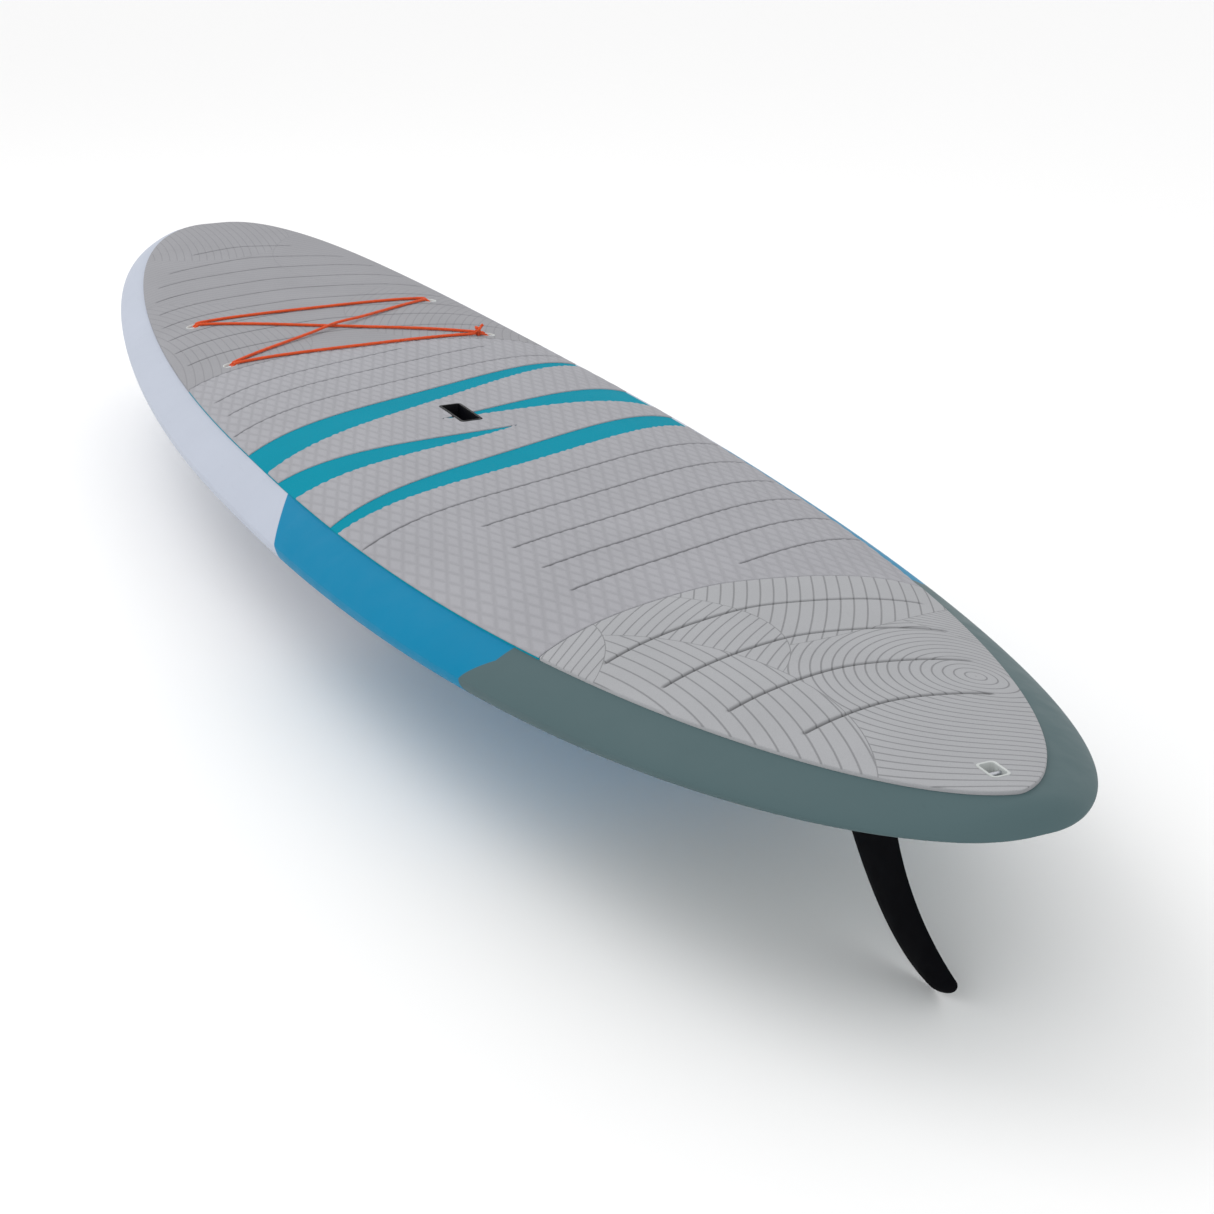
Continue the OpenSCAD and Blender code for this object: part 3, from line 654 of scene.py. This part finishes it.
# extra rows at an end where a pad's sides meet
POLE_ROWS = (0.1, 0.25, 0.8, 1.7, 3, 4, 5.2, 6.6, 8.2, 10, 12, 14.2, 16.6, 19.2, 22, 25, 28.4, 32)
SCALLOP, SCALLOP_PITCH = 3.4, 13.3


def seam(apex, sweep):
    """A soft chevron, as x over y."""
    return lambda y: apex - sweep * (np.sqrt(30**2 + y * y) - 30)


def bend(points):
    """A quadratic curve from its two ends and the control point between them, as x over y."""
    a, b, c = (np.array(p, float) for p in points)
    t = np.linspace(0, 1, 200)[:, None]
    path = (1 - t) ** 2 * a + 2 * t * (1 - t) * b + t * t * c
    order = np.argsort(path[:, 1])
    return lambda y: np.interp(y, path[order, 1], path[order, 0])


def through(points):
    """The quadratic through three points, as x over y."""
    x, y = zip(*points)
    fit = np.polyfit(y, x, 2)
    return lambda v: np.polyval(fit, v)


def shifted(curve, by):
    return lambda y: curve(y) + by


def scalloped(curve):
    """The edge cut in small round bites."""
    return lambda y: curve(y) + SCALLOP * (np.abs(np.sin(math.pi * y / SCALLOP_PITCH)) - 0.5)


def across_pad(curve, s):
    """x of a curve at each share s of the pad's width there."""
    x = curve(0 * s)
    for _ in range(14):
        x = curve(s * pad_y(x))
    return x


def edge_drop(distance):
    """How far a pad's top drops to round its edge."""
    return np.interp(distance, *zip(*EDGE_ROWS))


def width_shares(half, step):
    """Shares of the half width, from starboard to port, with extra ones that round the edges."""
    edges = [sign * (1 - d / half) for d, _ in EDGE_ROWS for sign in (-1, 1)]
    inner = np.linspace(-1, 1, int(2 * half / step))
    inner = inner[np.abs(inner) < 1 - (EDGE_ROWS[-1][0] + 1) / half]
    return np.unique(np.concatenate([edges, inner]))


class Groove:
    """A moulded groove along a curve, between two places across the board."""

    def __init__(self, curve, port, starboard, half=2.5, depth=2.4):
        self.curve, self.port, self.starboard, self.half, self.depth = curve, port, starboard, half, depth

    def reach(self, y):
        """1 along the groove, falling to 0 at its round ends."""
        return np.clip(np.minimum(self.port - y, y - self.starboard) / (2.2 * self.half) + 0.5, 0, 1)


NARROW_GROOVE, WIDE_GROOVE = (2.4, 2.2), (3.0, 2.6)    # half width and depth
GROOVE_ROWS = (-1.45, -1.0, -0.45, 0.45, 1.0, 1.45)
GROOVE_FORM = (0.0, 0.28, 1.0, 1.0, 0.28, 0.0)


def pad_mesh(name, bands, low, high, spacing, holes=()):
    """A sheet on the deck. Each band runs from a rear curve, over its grooves, to a front curve, all as x
    at the shares s across the pad, with 1 where the edge is open and 0 where it joins the next band."""
    tops, faces, marks = [], [], []
    start = 0
    for band in bands:
        s = band["s"]
        rear, front = band["rear"], band["front"]
        lines = [rear, *[across_pad(g.curve, s) for g in band["grooves"]], front]
        for k in range(len(lines) - 2, 0, -1):
            lines[k] = np.minimum(lines[k], lines[k + 1] - MIN_GAP)
        for k in range(1, len(lines) - 1):
            lines[k] = np.maximum(lines[k], lines[k - 1] + MIN_GAP)
        rows, drops, cuts = [], [], []

        def fill(to):
            last = rows[-1]
            count = int(np.max(to - last) / spacing)
            for j in range(1, count + 1):
                rows.append(last + (to - last) * j / (count + 1))
                drops.append(0 * s)
                cuts.append(0 * s)

        for d in band["rear_rows"]:
            rows.append(rear + d)
            drops.append(edge_drop(d) * band["rear_open"])
            cuts.append(0 * s)
        for g, line in zip(band["grooves"], lines[1:-1]):
            for offset, form in zip(GROOVE_ROWS, GROOVE_FORM):
                x = line + offset * g.half
                if offset == GROOVE_ROWS[0]:
                    fill(x)
                rows.append(x)
                drops.append(form * g.depth * g.reach(s * pad_y(x)))
                cuts.append(form * g.reach(s * pad_y(x)))
        fill(front - band["front_rows"][-1])
        for d in reversed(band["front_rows"]):
            rows.append(front - d)
            drops.append(edge_drop(d) * band["front_open"])
            cuts.append(0 * s)
        x = np.minimum(np.maximum.accumulate(np.array(rows), 0), front)
        x = np.maximum(x, rear)
        y = s * pad_y(x)
        side = (1 - np.abs(s)) * pad_y(x)
        z = deck_z(x, y) + BOND + high - np.maximum(np.array(drops), edge_drop(side))
        tops.append(np.stack([x, y, z], 2).reshape(-1, 3))
        marks.append(np.array(cuts).ravel())
        faces.append(quads(*x.shape, start))
        start += x.size
    top = np.concatenate(tops)
    groove = np.concatenate(marks)
    face = np.concatenate(faces)
    first, own = np.unique(np.round(top[:, :2], 3), axis=0, return_index=True, return_inverse=True)[1:]
    top, groove, face = top[first], groove[first], own.ravel()[face]
    count = len(top)
    under = top.copy()
    under[:, 2] = deck_z(top[:, 0], top[:, 1]) + BOND + low
    kept = [tuple(dict.fromkeys(f)) for f in face.tolist()]
    kept = [f for f in kept if len(f) > 2]
    edges = {}
    for f in kept:
        for a, b in zip(f, f[1:] + f[:1]):
            edges[(a, b)] = edges.get((a, b), 0) + 1
    walls = [(b, a, a + count, b + count) for (a, b) in edges if (b, a) not in edges]
    bottom = [tuple(v + count for v in f[::-1]) for f in kept]
    mesh = bpy.data.meshes.new(name)
    mesh.from_pydata((np.concatenate([top, under]) * MM).tolist(), [], kept + bottom + walls)
    mesh.attributes.new("groove", "FLOAT", "POINT").data.foreach_set(
        "value", np.concatenate([groove, 0 * groove]).astype(np.float32))
    mesh.attributes.new("on_top", "FLOAT", "POINT").data.foreach_set(
        "value", np.concatenate([np.ones(count), np.zeros(count)]).astype(np.float32))
    bm = bmesh.new()
    bm.from_mesh(mesh)
    bmesh.ops.recalc_face_normals(bm, faces=bm.faces)
    bm.to_mesh(mesh)
    bm.free()
    return cut(mesh, holes) if holes else mesh


def dress_pad(name, mesh, node, depth=0.0):
    """The finished pad. With a depth, its top is pressed into diamonds first."""
    if depth:
        mesh = pressed(name, mesh, depth)
    piece = add_piece(name, mesh, SLOTS[node], [node], sharp=50)


def band(s, rear, front, grooves=(), rear_open=1.0, front_open=1.0, pole=""):
    """A band for pad_mesh. A pole is the end, rear or front, at which the pad's sides meet."""
    plain = [d for d, _ in EDGE_ROWS]
    rows = {end: sorted(plain + list(POLE_ROWS)) if end == pole else plain for end in ("rear", "front")}
    return {"s": s, "rear": rear, "front": front, "grooves": list(grooves),
            "rear_rows": rows["rear"], "front_rows": rows["front"],
            "rear_open": rear_open * np.ones(len(s)), "front_open": front_open * np.ones(len(s))}


def set_inputs(modifier, values):
    for item in modifier.node_group.interface.items_tree:
        if item.item_type == "SOCKET" and item.in_out == "INPUT" and item.name in values:
            modifier[item.identifier] = values[item.name]


def new_tree(name, *inputs):
    """A geometry node tree with named inputs, given as (name, socket type, default)."""
    tree = bpy.data.node_groups.new(name, "GeometryNodeTree")
    for label, kind, value in (("Geometry", "Geometry", None), *inputs, ("Material", "Material", None)):
        socket = tree.interface.new_socket(label, in_out="INPUT", socket_type="NodeSocket" + kind)
        if value is not None:
            socket.default_value = value
    tree.interface.new_socket("Geometry", in_out="OUTPUT", socket_type="NodeSocketGeometry")
    return tree, put(tree, "NodeGroupInput").outputs


def close_tree(tree, given, geometry):
    real = put(tree, "GeometryNodeRealizeInstances", [("Geometry", geometry)]).outputs[0]
    done = put(tree, "GeometryNodeSetMaterial", [("Geometry", real), ("Material", given["Material"])])
    put(tree, "NodeGroupOutput", [("Geometry", done.outputs[0])])


PRESS_DEPTH = 0.0007


def named(tree, name):
    return put(tree, "GeometryNodeInputNamedAttribute", [("Name", name)], data_type="FLOAT").outputs[0]


def press_tree():
    """Presses diamonds into the top of a sheet, except in its grooves."""
    tree, given = new_tree("press_diamonds", ("Depth", "Float", PRESS_DEPTH),
                           ("Diamond length", "Float", DIAMOND_LONG),
                           ("Diamond width", "Float", DIAMOND_WIDE))
    position = put(tree, "GeometryNodeInputPosition").outputs[0]
    valleys = diamond_valleys(tree, position, given["Diamond length"], given["Diamond width"])
    flat = calc(tree, "MULTIPLY", named(tree, "on_top"), calc(tree, "SUBTRACT", 1.0, named(tree, "groove")))
    down = calc(tree, "MULTIPLY", given["Depth"], -1.0)
    sink = calc(tree, "MULTIPLY", calc(tree, "MULTIPLY", valleys, flat), down)
    offset = put(tree, "ShaderNodeCombineXYZ", [(2, sink)]).outputs[0]
    moved = put(tree, "GeometryNodeSetPosition", [("Geometry", given["Geometry"]), ("Offset", offset)])
    close_tree(tree, given, moved.outputs[0])
    return tree


PRESS = press_tree()


def with_tree(name, data, tree, values):
    """The plain mesh that a tree makes of a mesh or a curve."""
    thing = scratch_object(name + "_source", data)
    modifier = thing.modifiers.new("tree", "NODES")
    modifier.node_group = tree
    set_inputs(modifier, values)
    mesh = evaluated(thing)
    bpy.data.objects.remove(thing)
    mesh.name = name
    return mesh


def pressed(name, mesh, depth):
    return with_tree(name, mesh, PRESS, {"Depth": depth, "Material": MATERIALS["pad_grey_embossed"]})


NOSE_SEAM_X, TAIL_SEAM_X, SEAM_GAP = 548, 892, 2
NOSE_SWEEP, TAIL_SWEEP = 0.2155, 0.23
nose_rear, mid_front = (seam(NOSE_SEAM_X + side * SEAM_GAP / 2, NOSE_SWEEP) for side in (1, -1))
mid_rear, tail_front = (seam(-TAIL_SEAM_X + side * SEAM_GAP / 2, TAIL_SWEEP) for side in (1, -1))
fine = width_shares(PAD_HALF_W, STEP_Y)
coarse = width_shares(PAD_HALF_W, 2 * STEP_Y)
tail_fine = width_shares(float(pad_y(np.array(-TAIL_SEAM_X))), STEP_Y)

# Nose pad: chevron grooves, each an apex, a sweep and how far it reaches to the sides
NOSE_GROOVES = [(662, 0.2, 306), (756, 0.2, 306), (840, 0.196, 294), (922, 0.18, 284), (1010, 0.19, 270),
                (1096, 0.2, 257), (1184, 0.21, 228), (1274, 0.31, 185), (1366, 0.35, 106)]
nose_grooves = [Groove(seam(apex, sweep), end, -end, *NARROW_GROOVE) for apex, sweep, end in NOSE_GROOVES]
nose_bands = [band(coarse, across_pad(nose_rear, coarse), PAD_NOSE + 0 * coarse, nose_grooves, pole="front")]
dress_pad("nose_pad_foam", pad_mesh("nose_pad_foam", nose_bands, 0, PAD_T, 8, PLUG_HOLES), "nose_pad")

# Tail pad: wide chevron grooves and fine arcs
TAIL_GROOVES = [(-1312, 0.2, 121, -118), (-1205, 0.21, 161, -155), (-1095, 0.23, 193, -187),
                (-985, 0.24, 219, -215)]
tail_grooves = [Groove(seam(apex, sweep), p, q, *WIDE_GROOVE) for apex, sweep, p, q in TAIL_GROOVES]
tail_bands = [band(tail_fine, -PAD_TAIL + 0 * tail_fine, across_pad(tail_front, tail_fine), tail_grooves,
                   pole="rear")]
dress_pad("tail_pad_foam", pad_mesh("tail_pad_foam", tail_bands, 0, PAD_T, STEP_X, [LEASH_HOLE]), "tail_pad")

# Mid pad: a teal sheet, and over it three panels that leave four stripes of it bare.
# A stripe is a front edge and a back edge; the second and third end in a tip inside the pad
base_bands = [band(coarse, across_pad(mid_rear, coarse), across_pad(mid_front, coarse))]
teal_sheet = pad_mesh("mid_pad_teal_foam", base_bands, 0, PAD_BASE_T, 20, [HANDLE_HOLE])
dress_pad("mid_pad_teal_foam", teal_sheet, "mid_pad_base")
STRIPES = [
    ([(40, 400), (175, 6), (370, -400)], [(-70, 400), (66, 75), (352, -400)]),
    ([(-104, 400), (-90, 130), (-80, -62)], [(-196, 400), (-155, 95), (-80, -62)]),
    ([(2, 56), (40, -90), (150, -400)], [(2, 56), (2, -140), (20, -400)]),
    ([(-362, 400), (-204, -17), (-26, -400)], [(-382, 400), (-309, -11), (-84, -400)]),
]
fronts = [across_pad(bend(front), fine) for front, _ in STRIPES]
backs = [across_pad(scalloped(bend(back)), fine) for _, back in STRIPES]


CLOSED_GAP = 4.5                  # a stripe that is narrower is shut


def end_stripe(k, tip, far_share, far_x):
    """Closes stripe k at its tip, and carries the join on to the pad's far edge."""
    tip_share = tip[1] / float(pad_y(np.array(tip[0])))
    t = (fine - tip_share) / (far_share - tip_share)
    join = tip[0] + (far_x - tip[0]) * t
    fronts[k] = np.where(t > 0, join, fronts[k])
    backs[k] = np.where((t > 0) | (fronts[k] - backs[k] < CLOSED_GAP), fronts[k], backs[k])
    return np.clip((fronts[k] - backs[k]) / 4, 0, 1)


second_open = end_stripe(1, (-80, -62), -1, -20)
third_open = end_stripe(2, (2, 56), 1, -73)
front_groove = through([(162, 342), (292, -46), (384, -334)])
aft_groove = through([(-458, 328), (-364, 2), (-232, -338)])
FRONT_GROOVES = [(0, 342, -334), (100, 322, -206), (188, 322, -58)]
AFT_GROOVES = [(-492, -62, -296), (-399, 168, -306), (-305, 168, -314), (-211, 172, -322), (-107, 176, -330),
               (0, 328, -338)]
PANELS = {
    "front": [band(fine, fronts[0], across_pad(mid_front, fine),
                   [Groove(shifted(front_groove, by), p, q) for by, p, q in FRONT_GROOVES])],
    "middle": [band(fine, fronts[3], backs[1], front_open=second_open),
               band(fine, fronts[1], backs[2], rear_open=second_open, front_open=third_open),
               band(fine, fronts[2], backs[0], rear_open=third_open)],
    "rear": [band(fine, across_pad(mid_rear, fine), backs[3],
                  [Groove(shifted(aft_groove, by), p, q) for by, p, q in AFT_GROOVES])],
}
for panel, bands in PANELS.items():
    name = f"mid_pad_{panel}_panel"
    holes = [HANDLE_HOLE] if panel == "middle" else []
    panel_mesh = pad_mesh(name, bands, PAD_BASE_T + BOND, PAD_T, STEP_X, holes)
    dress_pad(name, panel_mesh, "mid_pad_top", PRESS_DEPTH)


# ---- fittings: the CAD shapes with their corners rounded ----
def rounded(node, name, width, body="board", segments=2):
    """A copy of a CAD node whose sharp edges are rounded."""
    mesh = frame["nodes"][node].data.copy()
    bm = bmesh.new()
    bm.from_mesh(mesh)
    bmesh.ops.remove_doubles(bm, verts=bm.verts, dist=2e-6)
    bmesh.ops.dissolve_limit(bm, angle_limit=math.radians(0.5), verts=bm.verts, edges=bm.edges)
    bm.to_mesh(mesh)
    bm.free()
    thing = scratch_object(name + "_source", mesh)
    bevel = thing.modifiers.new("round", "BEVEL")
    bevel.width = width
    bevel.segments = segments
    bevel.limit_method = "ANGLE"
    bevel.angle_limit = math.radians(40)
    bevel.use_clamp_overlap = True
    result = evaluated(thing)
    bpy.data.objects.remove(thing)
    for extra in [a.name for a in result.attributes if a.name.startswith("custom_normal")]:
        result.attributes.remove(result.attributes[extra])
    result.name = name
    return add_piece(name, result, SLOTS[node], [node], body, sharp=60)


rounded("handle_cup", "handle_cup_moulding", 0.0008)
rounded("leash_cup", "leash_cup_moulding", 0.0006)
rounded("fin_box", "fin_box_moulding", 0.0005)
for plug in ("front_port", "front_starboard", "rear_port", "rear_starboard"):
    rounded(f"bungee_plug_{plug}", f"bungee_plug_{plug}_moulding", 0.0005)

for node, piece in frame["nodes"].items():
    piece.data.materials.clear()
    piece.data.materials.append(MATERIALS[SLOTS[node]])

# ---- fin: a smooth foil on its tongue ----
FIN_BASE, FIN_DEPTH, FIN_T = 150, 241, 9
TONGUE_X = -11
TONGUE_FOOT = -0.4                # the tongue is kept down to here, inside the top of the blade
FRONT_EDGE = [(0.52, 0), (0.267, 0.26), (-0.133, 0.91), (-1, 1)]
BACK_EDGE = [(-0.48, 0), (-0.493, 0.29), (-0.627, 0.665), (-1.353, 0.89)]
TIP_EDGE = [(-1, 1), (-1.173, 1.004), (-1.393, 0.94), (-1.353, 0.89)]
BLADE_ROWS, TIP_ROWS, FOIL_POINTS = 46, 14, 26


def on_edge(edge, t):
    a, b, c, d = (np.array(p) for p in edge)
    x, depth = (1 - t) ** 3 * a + 3 * t * (1 - t) ** 2 * b + 3 * t * t * (1 - t) * c + t**3 * d
    return np.array([TONGUE_X + x * FIN_BASE, -depth * (FIN_DEPTH - 1) + 0.8])


def fin_blade():
    """A foil section from each point of the leading edge to one of the trailing edge."""
    pairs = [(on_edge(FRONT_EDGE, t), on_edge(BACK_EDGE, t)) for t in np.linspace(0, 1, BLADE_ROWS + 1)]
    pairs += [(on_edge(TIP_EDGE, t), on_edge(TIP_EDGE, 1 - t)) for t in np.linspace(0, 0.5, TIP_ROWS + 1)[1:]]
    c = (1 - np.cos(np.linspace(0, math.pi, FOIL_POINTS))) / 2
    form = 1.75 * np.sqrt(c) * (1 - c) + 0.3 * c * (1 - c) + 0.03
    points = []
    for lead, trail in pairs:
        chord = trail - lead
        half = min(FIN_T, np.linalg.norm(chord) * 0.11) / 2 * form
        line = lead + c[:, None] * chord
        port = [(x, w, z) for (x, z), w in zip(line, half)]
        starboard = [(x, -w, z) for x, w, z in reversed(port)]
        points += [on_bottom @ Vector(p) / MM for p in port + starboard]
    n = 2 * FOIL_POINTS
    faces = [(i * n + k, i * n + (k + 1) % n, (i + 1) * n + (k + 1) % n, (i + 1) * n + k)
             for i in range(len(pairs) - 1) for k in range(n)]
    caps = [tuple(range(n)), tuple(range(len(points) - n, len(points)))]
    return mesh_from("fin_blade", points, faces + caps)


add_piece("fin_blade", fin_blade(), SLOTS["fin"], [], "fin", sharp=60)


def keep_tongue(mesh):
    """Cuts the blade off a copy of the CAD fin, and closes the cut."""
    bm = bmesh.new()
    bm.from_mesh(mesh)
    up = (on_bottom.to_3x3() @ Vector((0, 0, 1))).normalized()
    sliced = bmesh.ops.bisect_plane(bm, geom=bm.verts[:] + bm.edges[:] + bm.faces[:], clear_outer=True,
                                    plane_co=on_bottom @ Vector((0, 0, TONGUE_FOOT)), plane_no=-up)
    bmesh.ops.holes_fill(bm, edges=[e for e in sliced["geom_cut"] if isinstance(e, bmesh.types.BMEdge)])
    bm.to_mesh(mesh)
    bm.free()


keep_tongue(rounded("fin", "fin_tongue", 0.0003, "fin").data)

# ---- bungee: a braided sleeve over its rubber core, on the route that the CAD cord has ----
CORD_D = 0.0055
CORD_ROUTE = [
    (0.525, -0.222, 0.1196), (0.527, -0.233, 0.117), (0.5275, -0.24, 0.1135), (0.528, -0.245, 0.109),
    (0.53, -0.246, 0.1055), (0.533, -0.246, 0.1045), (0.536, -0.246, 0.1055), (0.538, -0.245, 0.109),
    (0.5385, -0.24, 0.1135), (0.539, -0.233, 0.117), (0.572, -0.18, 0.121), (0.609, -0.12, 0.123),
    (0.6465, -0.06, 0.1235), (0.6835, 0, 0.124), (0.7205, 0.06, 0.1245), (0.758, 0.12, 0.125),
    (0.795, 0.18, 0.124), (0.823, 0.225, 0.1215), (0.8235, 0.232, 0.1185), (0.824, 0.237, 0.114),
    (0.826, 0.238, 0.1105), (0.829, 0.238, 0.1095), (0.832, 0.238, 0.1105), (0.834, 0.237, 0.114),
    (0.8345, 0.232, 0.1185), (0.835, 0.225, 0.122), (0.835, 0.18, 0.125), (0.835, 0.12, 0.1265),
    (0.835, 0.06, 0.127), (0.835, 0, 0.127), (0.835, -0.06, 0.127), (0.835, -0.12, 0.1265),
    (0.835, -0.18, 0.125), (0.835, -0.225, 0.122), (0.8345, -0.232, 0.1185), (0.834, -0.237, 0.114),
    (0.832, -0.238, 0.1105), (0.829, -0.238, 0.1095), (0.826, -0.238, 0.1105), (0.824, -0.237, 0.114),
    (0.8235, -0.232, 0.1185), (0.823, -0.225, 0.1215), (0.795, -0.18, 0.124), (0.758, -0.12, 0.1255),
    (0.7205, -0.06, 0.127), (0.6835, 0, 0.13), (0.6465, 0.06, 0.126), (0.609, 0.12, 0.1235),
    (0.572, 0.18, 0.121), (0.539, 0.233, 0.117), (0.5385, 0.24, 0.1135), (0.538, 0.245, 0.109),
    (0.536, 0.246, 0.1055), (0.533, 0.246, 0.1045), (0.53, 0.246, 0.1055), (0.528, 0.245, 0.109),
    (0.5275, 0.24, 0.1135), (0.527, 0.233, 0.117), (0.527, 0.18, 0.1205), (0.527, 0.12, 0.122),
    (0.527, 0.06, 0.1225), (0.527, 0, 0.1225), (0.527, -0.06, 0.1225), (0.527, -0.12, 0.122),
    (0.527, -0.18, 0.1205), (0.526, -0.203, 0.1195), (0.525, -0.22, 0.1198),
]


def braid_tree():
    """Two sets of yarns wind round a core along a curve, one each way, and pass over and under each other."""
    tree, given = new_tree("braided_cord", ("Radius", "Float", CORD_D / 2), ("Yarns", "Int", 8),
                           ("Lay length", "Float", 0.019), ("Step", "Float", 0.0022))

    def tube(path, ring):
        inputs = [("Curve", path), ("Profile Curve", ring), ("Fill Caps", True)]
        return put(tree, "GeometryNodeCurveToMesh", inputs).outputs[0]

    def ring(corners, radius):
        inputs = [("Resolution", corners), ("Radius", radius)]
        return put(tree, "GeometryNodeCurvePrimitiveCircle", inputs).outputs[0]

    route = [("Curve", given["Geometry"])]
    smooth = put(tree, "GeometryNodeCurveSplineType", route, spline_type="CATMULL_ROM").outputs[0]
    fine_line = put(tree, "GeometryNodeSetSplineResolution", [("Geometry", smooth), ("Resolution", 8)])
    steps = [("Curve", fine_line.outputs[0]), ("Length", given["Step"])]
    line = put(tree, "GeometryNodeResampleCurve", steps, mode="LENGTH").outputs[0]
    yarn_r = calc(tree, "MULTIPLY", given["Radius"], 0.27)
    core = tube(line, ring(10, calc(tree, "MULTIPLY", given["Radius"], 0.86)))
    yarn_ring = ring(4, yarn_r)
    lines = [("Geometry", line), ("Amount", given["Yarns"])]
    copies = put(tree, "GeometryNodeDuplicateElements", lines, domain="SPLINE")
    length = put(tree, "GeometryNodeSplineParameter").outputs["Length"]
    turn = calc(tree, "DIVIDE", length, given["Lay length"])
    share = calc(tree, "DIVIDE", copies.outputs["Duplicate Index"], given["Yarns"])
    tangent = put(tree, "GeometryNodeInputTangent").outputs[0]
    normal = put(tree, "GeometryNodeInputNormal").outputs[0]
    beside = vector_calc(tree, "CROSS_PRODUCT", (0, tangent), (1, normal))
    parts = [core]
    for way in (1.0, -1.0):
        angle = calc(tree, "MULTIPLY", calc(tree, "MULTIPLY_ADD", turn, way, share), 2 * math.pi)
        beat = calc(tree, "MULTIPLY", calc(tree, "MULTIPLY", turn, given["Yarns"]), 2 * math.pi)
        phase = calc(tree, "MULTIPLY_ADD", copies.outputs["Duplicate Index"], math.pi, beat)
        wave = calc(tree, "MULTIPLY", calc(tree, "MULTIPLY", calc(tree, "SINE", phase), yarn_r), 0.35 * way)
        out = calc(tree, "ADD", calc(tree, "SUBTRACT", given["Radius"], yarn_r), wave)
        offset = None
        for direction, ratio in ((normal, "COSINE"), (beside, "SINE")):
            scale = calc(tree, "MULTIPLY", calc(tree, ratio, angle), out)
            step = vector_calc(tree, "SCALE", (0, direction), ("Scale", scale))
            offset = step if offset is None else vector_calc(tree, "ADD", (0, offset), (1, step))
        moves = [("Geometry", copies.outputs["Geometry"]), ("Offset", offset)]
        wound = put(tree, "GeometryNodeSetPosition", moves).outputs[0]
        parts.append(tube(wound, yarn_ring))
    joined = put(tree, "GeometryNodeJoinGeometry")
    for part in parts:
        tree.links.new(part, joined.inputs[0])
    close_tree(tree, given, joined.outputs[0])
    return tree


BRAID = braid_tree()


def braided(name, route, node):
    """A braided cord along a list of points in metres."""
    line = bpy.data.curves.new(name, "CURVE")
    line.dimensions = "3D"
    spline = line.splines.new("POLY")
    spline.points.add(len(route) - 1)
    for point, at in zip(spline.points, route):
        point.co = (*at, 1)
    mesh = with_tree(name, line, BRAID, {"Material": MATERIALS["bungee_braid"], "Radius": CORD_D / 2})
    return add_piece(name, mesh, SLOTS[node], [node], sharp=70)


braided("bungee_cord_braid", CORD_ROUTE, "bungee_cord")

KNOT_AT = Vector((0.526, -0.226, 0.1212))
KNOT_R = 0.0026
LONG_END, SHORT_END = 0.020, 0.010


def knot_route():
    """An overhand knot. Both of the cord's ends leave it, the long one outboard and the short one inboard."""
    turns = np.linspace(0.25, 2 * math.pi - 0.25, 40)
    loop = [KNOT_AT + KNOT_R * Vector((math.sin(t) + 2 * math.sin(2 * t), -math.sin(3 * t) * 1.15 + 0.4,
                                       math.cos(t) - 2 * math.cos(2 * t) + 1.2)) for t in turns]
    ends = []
    for start, way, length in ((loop[0], Vector((-0.159, -0.407, 0.900)), LONG_END),
                               (loop[-1], Vector((-0.533, 0.5, 0.682)), SHORT_END)):
        sag = Vector((0, 0, -0.3 * length))
        ends.append([start + way * length * k / 6 + sag * (k / 6) ** 2 for k in range(1, 7)])
    return ends[0][::-1] + loop + ends[1]


braided("bungee_knot_braid", knot_route(), "bungee_knot")

# ---- floor and light ----
LAMPS = (("over", (1.5, 1.5, 3.6), 2.5, 36), ("tail_side", (-4.5, 3.5, 2.2), 2.0, 12))
LAMP_AIM = Vector((-0.2, 0, 0))


def make_stage():
    low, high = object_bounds()
    bpy.ops.mesh.primitive_plane_add(size=60, location=(0, 0, low.z - 0.0005))
    floor = bpy.context.object
    floor.name = "floor"
    paper = {"Roughness": 0.9, "Specular_IOR_Level": 0.1, "Base_Color": (0.98, 0.98, 0.98, 1)}
    material = new_material("floor_paper", **paper)[0]
    floor.data.materials.append(material)
    world = bpy.data.worlds.new("studio")
    bpy.context.scene.world = world
    world.use_nodes = True
    world.node_tree.nodes["Background"].inputs["Color"].default_value = (1, 1, 1, 1)
    world.node_tree.nodes["Background"].inputs["Strength"].default_value = 0.97
    for name, at, size, watts in LAMPS:
        data = bpy.data.lights.new(name, "AREA")
        data.size = size
        data.energy = watts
        light = bpy.data.objects.new(name, data)
        bpy.context.scene.collection.objects.link(light)
        light.location = at
        light.rotation_euler = (LAMP_AIM - Vector(at)).to_track_quat("-Z", "Y").to_euler()
    bpy.context.scene.view_settings.view_transform = "Standard"


make_stage()
